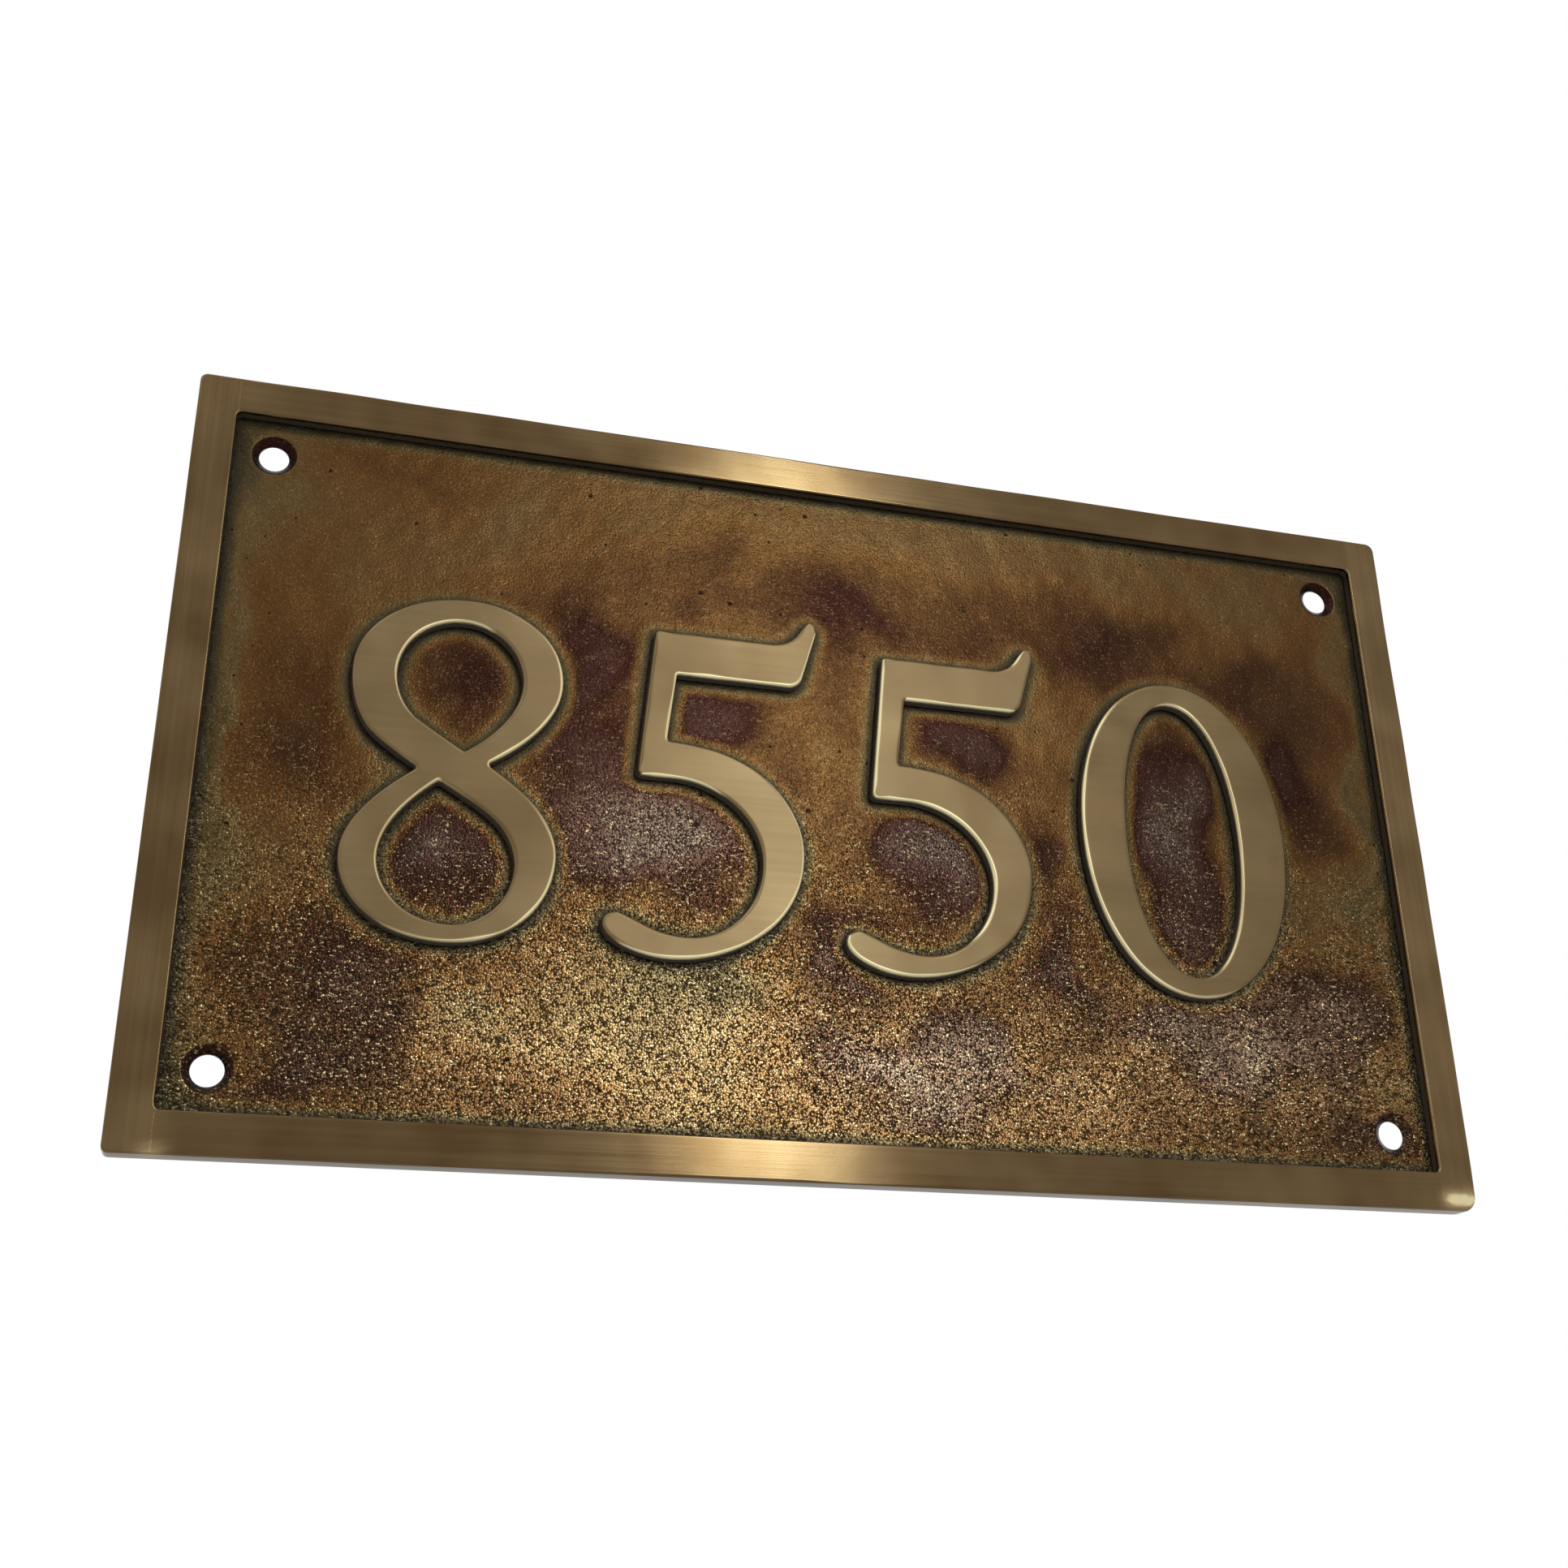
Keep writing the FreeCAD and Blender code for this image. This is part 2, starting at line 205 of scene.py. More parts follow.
def swells(x, z, size, seed):
    """Slow random swells between about -1 and 1, of one length in millimetres: the sum of cosine waves,
    each with its own heading, length and phase, over the root of their number."""
    draw = np.random.default_rng(seed)
    waves = 14
    heading = draw.uniform(0, 2 * np.pi, waves)
    phase = draw.uniform(0, 2 * np.pi, waves)
    rate = 2 * np.pi / (size * draw.uniform(0.7, 1.6, waves))
    total = np.zeros_like(x)
    for turn, start, wave in zip(heading, phase, rate):
        total += np.cos(wave * (x * np.cos(turn) + z * np.sin(turn)) + start)
    return total / math.sqrt(waves)


def direction(degrees):
    """A unit vector at an angle."""
    return np.array([math.cos(math.radians(degrees)), math.sin(math.radians(degrees))])


def cubic(a, b, c, d, steps):
    """Points on a cubic curve: at t, the four control points weighted (1-t)^3, 3t(1-t)^2, 3t^2(1-t)
    and t^3."""
    t = np.linspace(0, 1, steps)[:, None]
    return (1 - t) ** 3 * a + 3 * t * (1 - t) ** 2 * b + 3 * t * t * (1 - t) * c + t ** 3 * d


def bow(start, end, fullness, steps=80):
    """A smooth bow between two nodes (x, y, direction in degrees).

    Its handles reach the share of the way to where the two tangents cross that makes an ellipse's
    arc, times the fullness: over 1 is squarer, under 1 flatter. Where the tangents cross behind a
    node, the handles are a third of the gap.
    """
    a, b = np.array(start[:2]), np.array(end[:2])
    leave, arrive = direction(start[2]), direction(end[2])
    gap = b - a
    turned = leave[0] * arrive[1] - leave[1] * arrive[0]
    out = (gap[0] * arrive[1] - gap[1] * arrive[0]) / turned
    back = (leave[0] * gap[1] - leave[1] * gap[0]) / turned
    if out > 0 and back > 0:
        turn = math.acos(leave @ arrive)
        share = fullness * 4 / 3 * math.tan(turn / 4) / math.tan(turn / 2)
        out, back = out * share, back * share
    else:
        out = back = np.hypot(*gap) / 3
    return cubic(a, a + leave * out, b - arrive * back, b, steps)


def bows(nodes, fullness=1.0):
    """A smooth stretch through every node."""
    return chain(*[bow(nodes[i], nodes[i + 1], fullness) for i in range(len(nodes) - 1)])


def line(start, end, steps=80):
    """A straight stretch, as evenly spaced points."""
    t = np.linspace(0, 1, steps)[:, None]
    return (1 - t) * np.array(start) + t * np.array(end)


def chain(*parts):
    """Stretches joined end to end, each shared point kept once."""
    return np.concatenate([part[:-1] for part in parts[:-1]] + [parts[-1]])


def bridge(start, leave, end, arrive, radius, steps=24):
    """Points on the cubic curve that stands for the arc of a radius between two directions. Each
    handle is the radius times 4/3 of the tangent of a quarter of the turn."""
    turn = math.acos(np.clip(leave @ arrive, -1, 1))
    handle = radius * 4 / 3 * math.tan(turn / 4)
    return cubic(start, start + leave * handle, end - arrive * handle, end, steps)


def corner(before, point, after, radius):
    """Points on the arc that rounds an outward corner between two straight sides."""
    before, point, after = np.array(before), np.array(point), np.array(after)
    back = (before - point) / np.hypot(*(before - point))
    on = (after - point) / np.hypot(*(after - point))
    reach = radius / math.tan(math.acos(back @ on) / 2)
    return bridge(point + back * reach, -back, point + on * reach, on, radius)


def eight():
    """Two bowls that cross at the waist, with a heavy stroke falling from upper left to lower right."""
    left_notch = (19.0, 48.1)
    right_notch = (37.5, 50.9)
    upper_bowl = [left_notch + (148,), (4.6, 59.2, 124), (0.0, 75.4, 90), (31.0, 100.0, 0),
                  (57.4, 77.2, -90), right_notch + (-149,)]
    lower_bowl = [right_notch + (-31,), (57.0, 26.0, -90), (28.4, 0.0, 180), (0.2, 22.2, 90),
                  left_notch + (37,)]
    upper_point = (31.3, 54.1)
    upper_counter = [upper_point + (148,), (17.6, 63.0, 139), (12.2, 75.6, 90), (29.6, 92.8, 0),
                     (46.0, 76.0, -90), upper_point + (-145,)]
    lower_point = (25.0, 44.8)
    lower_counter = [lower_point + (-29,), (38.6, 36.2, -38), (45.7, 22.4, -90), (29.2, 5.1, 180),
                     (10.4, 22.2, 90), lower_point + (38,)]
    outer = [bows(upper_bowl, 1.02), bows(lower_bowl, 1.05)]
    return 57.3, [outer, [bows(upper_counter)], [bows(lower_counter)]]


def five():
    """A leaning stem, a bar that flicks up at its right end, and an open bowl with a rounded tail."""
    stem_foot = (8.8, 52.3)
    stem_head = (13.5, 97.7)
    bar_end = (47.5, 97.7)
    flick_side = (61.2, 101.8)
    bar_corner = (56.0, 84.4)
    armpit = (20.0, 84.4)
    bowl_root = (17.3, 63.5)
    bowl_end = (19.0, 52.3)
    stem_rounding = 1.6
    bar_rounding = 4.6
    down = math.degrees(math.atan2(bar_corner[1] - flick_side[1], bar_corner[0] - flick_side[0]))
    flick = bows([bar_end + (0,), (56.2, 102.4, 58), (59.2, 105.8, 0), flick_side + (down,)])
    bowl = bows([bowl_root + (0,), (45.8, 54.9, -41), (56.6, 33.2, -90), (45.6, 9.6, -141),
                 (18.6, 0.0, 180), (4.6, 3.4, 152), (0.0, 8.8, 90), (4.0, 12.2, 0), (11.6, 9.2, -25),
                 (23.0, 6.6, 0), (44.4, 29.6, 90), bowl_end + (180,)])
    foot = corner(bowl_end, stem_foot, stem_head, stem_rounding)
    head = corner(stem_foot, stem_head, bar_end, stem_rounding)
    bar = corner(flick_side, bar_corner, armpit, bar_rounding)
    round_the_outside = chain(bowl, line(bowl_end, foot[0]), foot, line(foot[-1], head[0]), head,
                              line(head[-1], bar_end), flick, line(flick_side, bar[0]), bar,
                              line(bar[-1], armpit))
    return 61.5, [[round_the_outside, line(armpit, bowl_root)]]


def nought():
    """A tall oval ring, heavy at the sides and thin at the top and foot."""
    outer = [(66.0, 50.0, 90), (33.0, 100.0, 180), (0.0, 50.0, -90), (33.0, 0.0, 0), (66.0, 50.0, 90)]
    counter = [(50.8, 49.6, 90), (32.0, 92.8, 180), (14.2, 49.0, -90), (33.0, 6.3, 0),
               (50.8, 49.6, 90)]
    return 66.0, [[bows(outer, 1.04)], [bows(counter, 1.06)]]


DRAWN = {"eight": eight, "five": five, "nought": nought}


def shortened(points, start, end):
    """A stretch with a length cut off each end."""
    along = np.concatenate([[0], np.cumsum(np.hypot(*np.diff(points, axis=0).T))])
    keep = (along > start) & (along < along[-1] - end)
    at = np.concatenate([[start], along[keep], [along[-1] - end]])
    return np.stack([np.interp(at, along, points[:, 0]), np.interp(at, along, points[:, 1])], axis=1)


def closed_outline(stretches, nook_radius):
    """One closed line through stretches that meet at sharp inward corners, with each such corner
    rounded: both sides are cut back by the radius times the tangent of half the turn, and bridged."""
    leave = [unit(points[1] - points[0]) for points in stretches]
    arrive = [unit(points[-1] - points[-2]) for points in stretches]
    count = len(stretches)
    cuts = []
    for i in range(count):
        turn = math.acos(np.clip(arrive[i] @ leave[(i + 1) % count], -1, 1))
        cuts.append(nook_radius * math.tan(turn / 2) if turn > math.radians(10) else 0.0)
    parts = []
    for i in range(count):
        cut = shortened(stretches[i], cuts[i - 1], cuts[i])
        following = shortened(stretches[(i + 1) % count], cuts[i], cuts[(i + 1) % count])
        parts.append(cut[:-1])
        if cuts[i]:
            end, start = unit(cut[-1] - cut[-2]), unit(following[1] - following[0])
            parts.append(bridge(cut[-1], end, following[0], start, nook_radius)[:-1])
    return np.concatenate(parts)


def unit(vector):
    """A vector of length 1."""
    return vector / np.hypot(*vector)


def turned_left(points):
    """Twice the signed area of a closed line: positive where it runs anticlockwise."""
    x, y = points.T
    return np.sum(x * np.roll(y, -1) - np.roll(x, -1) * y)


def held_in(width, tightness, step):
    """How far in a soft edge may reach at evenly spaced places on a closed line: its width, or a share
    of the radius where the line turns outward tightly, at its lowest nearby and then smoothed."""
    limit = np.minimum(width, 0.5 / np.maximum(tightness, 1e-6))
    reach = int(width / step)
    lowest = np.min([np.roll(limit, shift) for shift in range(-reach, reach + 1)], axis=0)
    return np.mean([np.roll(lowest, shift) for shift in range(-reach, reach + 1)], axis=0)


def stations(outline, width):
    """Places along a closed line: the point, the normal to its left, and how far in the edge reaches.

    The places lie closer where the line bends. Their number grows with the length over the longest
    gap plus the angle turned over the largest turn, and they share that sum out evenly.
    """
    longest, largest = 0.5, math.radians(6)
    ahead = np.roll(outline, -1, axis=0) - outline
    gap = np.hypot(*ahead.T)
    tangent = ahead / gap[:, None] + np.roll(ahead / gap[:, None], 1, axis=0)
    angle = np.unwrap(np.arctan2(tangent[:, 1], tangent[:, 0]))
    full_turn = 2 * np.pi * np.sign(turned_left(outline))
    following = np.append(angle[1:], angle[0] + full_turn)
    bend = (following - angle) / gap

    step = 0.1
    along = np.concatenate([[0], np.cumsum(gap)])
    even = np.arange(0, along[-1], step)
    window = 1
    smooth = np.interp(even, along[:-1], bend)
    smooth = np.mean([np.roll(smooth, shift) for shift in range(-window, window + 1)], axis=0)
    inward = held_in(width, smooth, step)

    share = gap / longest + np.abs(following - angle) / largest
    summed = np.concatenate([[0], np.cumsum(share)])
    places = np.linspace(0, summed[-1], int(summed[-1]) + 1)[:-1]
    at = np.interp(places, summed, along)
    turned = np.interp(at, along, np.append(angle, angle[0] + full_turn))
    x = np.interp(at, along, np.append(outline[:, 0], outline[0, 0]))
    y = np.interp(at, along, np.append(outline[:, 1], outline[0, 1]))
    normal = np.stack([-np.sin(turned), np.cos(turned)], axis=1)
    return np.stack([x, y], axis=1), normal, np.interp(at, even, inward)


class Casting:
    """The casting's points and faces, gathered before they become one mesh."""

    def __init__(self):
        self.points = []
        self.faces = []
        self.count = 0

    def add(self, x, y, z):
        """Adds points and gives back their numbers, in the arrays' shape."""
        x, y, z = np.broadcast_arrays(x, y, z)
        self.points.append(np.stack([x.ravel(), y.ravel(), z.ravel()], axis=1))
        numbers = np.arange(self.count, self.count + x.size).reshape(x.shape)
        self.count += x.size
        return numbers

    def sheet(self, rows, finish, closed=True):
        """Quads between each row of numbers and the next, closed round each row or left open."""
        nearer, farther = rows[:-1], rows[1:]
        if closed:
            nearer = np.concatenate([nearer, nearer[:, :1]], axis=1)
            farther = np.concatenate([farther, farther[:, :1]], axis=1)
        quads = np.stack([nearer[:, :-1], nearer[:, 1:], farther[:, 1:], farther[:, :-1]], axis=-1)
        self.faces.append((quads.reshape(-1, 4), finish))

    def cap(self, loops, finish, towards):
        """Triangles that fill flat loops, the first the outer one, facing towards +Y or -Y."""
        numbers = np.concatenate(loops)
        flat = np.concatenate(self.points)[numbers][:, [0, 2]]
        ends = np.cumsum([len(loop) for loop in loops])
        sides = []
        for loop, end in zip(loops, ends):
            around = np.arange(end - len(loop), end)
            sides += np.stack([around, np.roll(around, -1)], axis=1).tolist()
        filled = delaunay_2d_cdt([Vector(point) for point in flat], sides, [], 0, 1e-7)
        if len(filled[0]) != len(flat):
            raise RuntimeError("a flat face's outline crosses itself")
        triangles = np.array(filled[2])
        middle = flat[triangles].mean(axis=1)
        outlines = np.split(flat, ends[:-1])
        triangles = triangles[distance_to(middle[:, 0], middle[:, 1], outlines) < 0]
        if towards > 0:
            triangles = triangles[:, ::-1]
        self.faces.append((numbers[triangles], finish))

    def mesh(self, name):
        """The mesh, in metres, with each face's finish as its material's place."""
        mesh = bpy.data.meshes.new(name)
        points = np.concatenate(self.points) * MM
        corners = np.concatenate([faces.ravel() for faces, finish in self.faces])
        sides = np.concatenate([np.full(len(faces), faces.shape[1]) for faces, finish in self.faces])
        places = np.concatenate([np.full(len(faces), finish) for faces, finish in self.faces])
        mesh.vertices.add(len(points))
        mesh.vertices.foreach_set("co", points.ravel())
        mesh.loops.add(len(corners))
        mesh.loops.foreach_set("vertex_index", corners)
        mesh.polygons.add(len(sides))
        mesh.polygons.foreach_set("loop_start", np.concatenate([[0], np.cumsum(sides)[:-1]]))
        mesh.polygons.foreach_set("material_index", places)
        mesh.update(calc_edges=True)
        mesh.validate()
        return mesh


def rounded(x, z, half_width, half_height, radius, out=0.0):
    """Moves points of a rectangle's outline onto that outline with rounded corners.

    Each point has a nearest point in the rectangle less the radius all round, and goes the radius
    (and any further way out) from there towards where it was.
    """
    inner_x = np.clip(x, radius - half_width, half_width - radius)
    inner_z = np.clip(z, radius - half_height, half_height - radius)
    away = np.hypot(x - inner_x, z - inner_z)
    reach = radius + out
    return inner_x + (x - inner_x) / away * reach, inner_z + (z - inner_z) / away * reach


def grid_lines(half, patch):
    """Places of the field's grid lines from side to side: even ones, which lie closer at the two ends,
    up to where the patch round a screw hole begins."""
    pitch = 25.4 / CELLS_PER_INCH
    count = round(2 * half / pitch)
    even = np.linspace(-half, half, count + 1)
    margin = half - patch
    close = half - margin * (np.arange(7) / 6) ** 1.6
    middle = even[np.abs(even) < patch - pitch / 2]
    return np.concatenate([-close, middle, close[::-1]])


def add_plate(casting, sizes):
    """The field, the screw holes, the border and the back, as one closed shell."""
    border = sizes.border_width / MM
    recess_corner = sizes.recess_corner / MM
    recess_x, recess_z = HALF_WIDTH - border, HALF_HEIGHT - border
    patch = 5 * 25.4 / CELLS_PER_INCH
    lines_x = grid_lines(recess_x, HOLE_X + patch)
    lines_z = grid_lines(recess_z, HOLE_Z + patch)
    x, z = np.meshgrid(lines_x, lines_z)
    edge = np.zeros(x.shape, dtype=bool)
    edge[[0, -1], :] = True
    edge[:, [0, -1]] = True
    x[edge], z[edge] = rounded(x[edge], z[edge], recess_x, recess_z, recess_corner)
    waves = swells(x, z, 11.0, 3) + 0.5 * swells(x, z, 3.5, 4)
    y = -sizes.web_thickness / MM + sizes.waviness / MM * waves
    numbers = casting.add(x, y, z)

    cells = np.ones((len(lines_z) - 1, len(lines_x) - 1), dtype=bool)
    back_loops = []
    for side in (-1, 1):
        for level in (-1, 1):
            left, right = np.searchsorted(lines_x, side * HOLE_X + np.array([-patch, patch]) - MM)
            foot, top = np.searchsorted(lines_z, level * HOLE_Z + np.array([-patch, patch]) - MM)
            cells[foot:top, left:right] = False
            round_patch = ring(numbers[foot:top + 1, left:right + 1])
            back_loops.append(add_hole(casting, sizes, round_patch, side * HOLE_X, level * HOLE_Z))
    quads = np.stack([numbers[:-1, :-1], numbers[:-1, 1:], numbers[1:, 1:], numbers[1:, :-1]], axis=-1)
    casting.faces.append((quads[cells], FIELD))

    back_row = add_border(casting, sizes, ring(numbers)[::-1])
    casting.cap([back_row] + back_loops, BACK, 1)


def ring(numbers):
    """The outer numbers of a block, anticlockwise from the lower left."""
    return np.concatenate([numbers[0, :-1], numbers[:-1, -1], numbers[-1, :0:-1], numbers[:0:-1, 0]])


def add_hole(casting, sizes, square, x, z):
    """A screw hole that starts from a square of the field's grid, and gives back its loop at the back.

    The rows go from the square to the countersink's round mouth by straight blending, over a small
    lip, down the cone, along the bore and over a small slant to the back.
    """
    points = np.concatenate(casting.points)[square]
    start = np.arctan2(points[0, 2] - z, points[0, 0] - x)
    angle = start + np.linspace(0, 2 * np.pi, len(square), endpoint=False)
    across, up = np.cos(angle), np.sin(angle)
    mouth = sizes.countersink_radius / MM
    field = -sizes.web_thickness / MM
    depth = sizes.countersink_depth / MM
    rim = mouth + LIP
    rows = [square]
    for share in (0.35, 0.7, 1.0):
        rows.append(casting.add((1 - share) * points[:, 0] + share * (x + rim * across),
                                (1 - share) * points[:, 1] + share * field,
                                (1 - share) * points[:, 2] + share * (z + rim * up)))
    casting.sheet(np.array(rows), FIELD)
    slope = (mouth - BORE_RADIUS) / depth
    profile = [(mouth + LIP * 0.3, field + LIP * 0.25), (mouth - slope * LIP, field + LIP)]
    profile += [((1 - t) * mouth + t * BORE_RADIUS, field + t * depth) for t in (0.4, 0.7, 0.97)]
    profile += [(BORE_RADIUS, field + depth + 0.04), (BORE_RADIUS, -BORE_EDGE),
                (BORE_RADIUS + BORE_EDGE, 0.0)]
    wall = [rows[-1]]
    for radius, y in profile:
        wall.append(casting.add(x + radius * across, y, z + radius * up))
    casting.sheet(np.array(wall), FIELD)
    return wall[-1]


def add_border(casting, sizes, foot):
    """The border from its foot at the field, over its top, to the back, and gives back its last loop.

    A profile is carried round the plate: up the inner wall, over a quarter ellipse, across the top,
    over another quarter ellipse, down the outer wall and over a small slant to the back. The inner
    edge is worn 1.6 times as far down as the outer one.
    """
    border = sizes.border_width / MM
    recess_x, recess_z = HALF_WIDTH - border, HALF_HEIGHT - border
    recess_corner = sizes.recess_corner / MM
    points = np.concatenate(casting.points)[foot]
    inner_x, inner_z = points[:, 0], points[:, 2]
    x, z = inner_x * HALF_WIDTH / recess_x, inner_z * HALF_HEIGHT / recess_z
    x = np.where(np.abs(inner_x) > recess_x - 1e-6, np.sign(x) * HALF_WIDTH, x)
    z = np.where(np.abs(inner_z) > recess_z - 1e-6, np.sign(z) * HALF_HEIGHT, z)
    plate_corner = corner_radius(x, z)
    wear = edge_wear(x, z)
    height = sizes.edge_height / MM
    width = sizes.edge_width / MM
    inner_height = 1.6 * height

    rows = [foot]
    for turn in np.radians(np.linspace(0, 90, 7)):
        out = width * (1 - math.cos(turn))
        across, up = rounded(inner_x, inner_z, recess_x, recess_z, recess_corner, out)
        rows.append(casting.add(across, FRONT + inner_height * (1 - math.sin(turn)), up))
    outer_rows = []
    for turn in np.radians(np.linspace(90, 0, 8)):
        inset = width * wear * (1 - math.cos(turn))
        across, up = rounded(x, z, HALF_WIDTH, HALF_HEIGHT, plate_corner, -inset)
        outer_rows.append((across, FRONT + height * wear * (1 - math.sin(turn)), up))
    inner_top = rounded(inner_x, inner_z, recess_x, recess_z, recess_corner, width)
    for share in (0.02, 0.2, 0.35, 0.5, 0.65, 0.8, 0.98):
        across = (1 - share) * inner_top[0] + share * outer_rows[0][0]
        up = (1 - share) * inner_top[1] + share * outer_rows[0][2]
        rows.append(casting.add(across, FRONT, up))
    for row in outer_rows:
        rows.append(casting.add(*row))
    for inset, y in ((0.0, -BACK_EDGE), (BACK_EDGE, 0.0)):
        across, up = rounded(x, z, HALF_WIDTH, HALF_HEIGHT, plate_corner, -inset)
        rows.append(casting.add(across, y, up))
    casting.sheet(np.array(rows), BRUSHED)
    return rows[-1]


def corner_radius(x, z):
    """The plate's corners as filed by hand: the lower right one is the roundest, the lower left the
    sharpest."""
    right, top = x > 0, z > 0
    return np.where(top, np.where(right, 1.6, 1.2), np.where(right, 2.6, 1.0))


def edge_wear(x, z):
    """How many times its least width the border's outer edge is worn: most at the lower right corner."""
    from_corner = np.hypot(x - HALF_WIDTH, z + HALF_HEIGHT)
    return 1 + 0.25 * swells(x, z, 25.0, 9) + 1.4 * np.exp(-(from_corner / 7) ** 2)


def add_numeral(casting, sizes, name, reach, left):
    """One raised numeral as a closed shell that stands a little way down in the field.

    A profile is carried round each outline: up the wall, over a quarter circle, and on over a slow
    slope that lies below the face by 1 less the share of its reach, cubed. The flat face begins a
    little further in and closes it. Returns the outlines, for the field.
    """
    scale = sizes.numeral_height / MM / BODY_UNITS
    foot = -(sizes.numeral_height / 2 + sizes.numeral_drop) / MM
    sunk = SUNK - sizes.web_thickness / MM
    radius = sizes.numeral_edge / MM
    flat_start = 0.06
    outlines, tops, bottoms = [], [], []
    for index, stretches in enumerate(DRAWN[name]()[1]):
        placed = [points * scale + np.array([left, foot]) for points in stretches]
        outline = closed_outline(placed, sizes.nook_radius / MM)
        if (turned_left(outline) > 0) != (index == 0):
            outline = outline[::-1]
        points, normal, inward = stations(outline, reach)
        inward = inward * (1 + 0.15 * swells(points[:, 0], points[:, 1], 9.0, 21 + index))
        rows = [casting.add(points[:, 0], sunk, points[:, 1])]
        for share in (0.0, 0.02, 0.06, 0.12, 0.2, 0.3, 0.4, 0.5, 0.65, 0.82, 1.0):
            place = points + normal * (inward * share)[:, None]
            climb = max(0.0, 1 - share * reach / radius)
            depth = radius * (1 - math.sqrt(1 - climb ** 2)) + FACE_SLOPE * (1 - share) ** 3
            rows.append(casting.add(place[:, 0], FRONT + depth, place[:, 1]))
        place = points + normal * (inward + flat_start)[:, None]
        rows.append(casting.add(place[:, 0], FRONT, place[:, 1]))
        casting.sheet(np.array(rows), BRUSHED)
        tops.append(rows[-1])
        bottoms.append(rows[0])
        outlines.append(outline[::6])
    casting.cap(tops, BRUSHED, -1)
    casting.cap(bottoms, FIELD, 1)
    return outlines


def add_numerals(casting, sizes):
    """The numerals side by side, centred across the plate as one group. Returns their outlines."""
    scale = sizes.numeral_height / MM / BODY_UNITS
    widths = [DRAWN[name]()[0] * scale for name, reach in NUMERALS]
    gaps = [gap / MM for gap in sizes.numeral_gaps]
    left = -(sum(widths) + sum(gaps)) / 2
    outlines = []
    for index, (name, reach) in enumerate(NUMERALS):
        outlines += add_numeral(casting, sizes, name, reach, left)
        left += widths[index] + (gaps[index] if index < len(gaps) else 0.0)
    return outlines


def distance_to(x, z, outlines):
    """Distance from each point to closed lines, negative inside them.

    For each side of a line it is the length to the nearest point of that side. A point is inside
    when a ray to its right crosses the lines an odd number of times.
    """
    nearest = np.full(x.shape, 1e9)
    crossings = np.zeros(x.shape, dtype=int)
    batch = 48
    for outline in outlines:
        following = np.roll(outline, -1, axis=0)
        for first in range(0, len(outline), batch):
            ax, az = outline[first:first + batch].T[:, None, :]
            bx, bz = following[first:first + batch].T[:, None, :]
            dx, dz = bx - ax, bz - az
            px, pz = x[:, None] - ax, z[:, None] - az
            share = np.clip((px * dx + pz * dz) / (dx * dx + dz * dz), 0, 1)
            nearest = np.minimum(nearest, np.hypot(px - share * dx, pz - share * dz).min(axis=1))
            between = (az > z[:, None]) != (bz > z[:, None])
            rise = np.where(dz == 0, 1.0, dz)
            crossings += np.sum(between & (px < pz * dx / rise), axis=1)
    return np.where(crossings % 2 == 1, -nearest, nearest)


def inside_recess(x, z, sizes):
    """Distance from each point to the border's inner wall, by the rounded rectangle's formula."""
    border, radius = sizes.border_width / MM, sizes.recess_corner / MM
    past_x = np.abs(x) - (HALF_WIDTH - border - radius)
    past_z = np.abs(z) - (HALF_HEIGHT - border - radius)
    out = np.hypot(np.maximum(past_x, 0), np.maximum(past_z, 0))
    return radius - out - np.minimum(np.maximum(past_x, past_z), 0)


# Where the flame left its colours on the field: x, z, half width, half height, and the heat there,
# from 0 for olive over gold, orange brown, maroon and violet to 1 for a greyish mauve
HEATED = (
    (-78, 42, 30, 18, 0.30), (-88, 8, 16, 28, 0.42), (-53, 44, 8, 7, 0.06), (-70, 50, 18, 6, 0.50),
    (0, 48, 70, 12, 0.30), (60, 48, 46, 11, 0.26), (-43, 20, 10, 22, 0.68), (-18, 40, 28, 7, 0.50),
    (3, 33, 17, 10, 0.65), (46, 35, 21, 10, 0.63), (24, 38, 18, 7, 0.50), (-63, 14, 9, 10, 0.63),
    (-64, -16, 9, 9, 0.90), (-43, 4, 9, 9, 0.66), (-22, 13, 12, 9, 0.72), (-32, -10, 20, 11, 1.00),
    (-86, -2, 10, 14, 0.60), (-92, -22, 10, 18, 0.30), (-74, -36, 17, 9, 0.74), (-84, -50, 17, 8, 0.72),
    (-58, -43, 11, 8, 0.14), (-42, -28, 8, 12, 0.36), (-50, -51, 14, 6, 0.50), (-28, -42, 17, 9, 0.14),
    (-24, -33, 16, 5, 0.02), (-9, -40, 9, 10, 0.22), (-1, -28, 9, 8, 0.78), (8, -46, 17, 8, 1.00),
    (24, -46, 11, 8, 0.98), (38, -27, 7, 10, 0.80), (31, -37, 8, 8, 0.44), (40, -52, 16, 7, 0.40),
    (56, -36, 12, 6, 0.86), (72, -38, 16, 9, 1.00), (88, -31, 12, 8, 0.90), (66, -52, 20, 6, 0.50),
    (90, -4, 12, 18, 0.24), (85, 12, 9, 13, 0.72), (94, 30, 9, 18, 0.46), (76, 30, 15, 8, 0.58),
    (20, -8, 15, 9, 0.98), (22, 12, 10, 8, 0.74), (44, 6, 7, 18, 0.42), (61, 2, 9, 18, 0.96),
    (60, -17, 8, 8, 0.78), (-100, 50, 8, 9, 0.02), (-99, -54, 8, 8, 0.04), (99, -52, 7, 8, 0.06),
    (99, 54, 7, 7, 0.08), (-99, 0, 3, 50, 0.12), (99, 0, 3, 50, 0.12), (91, -52, 10, 6, 0.68))


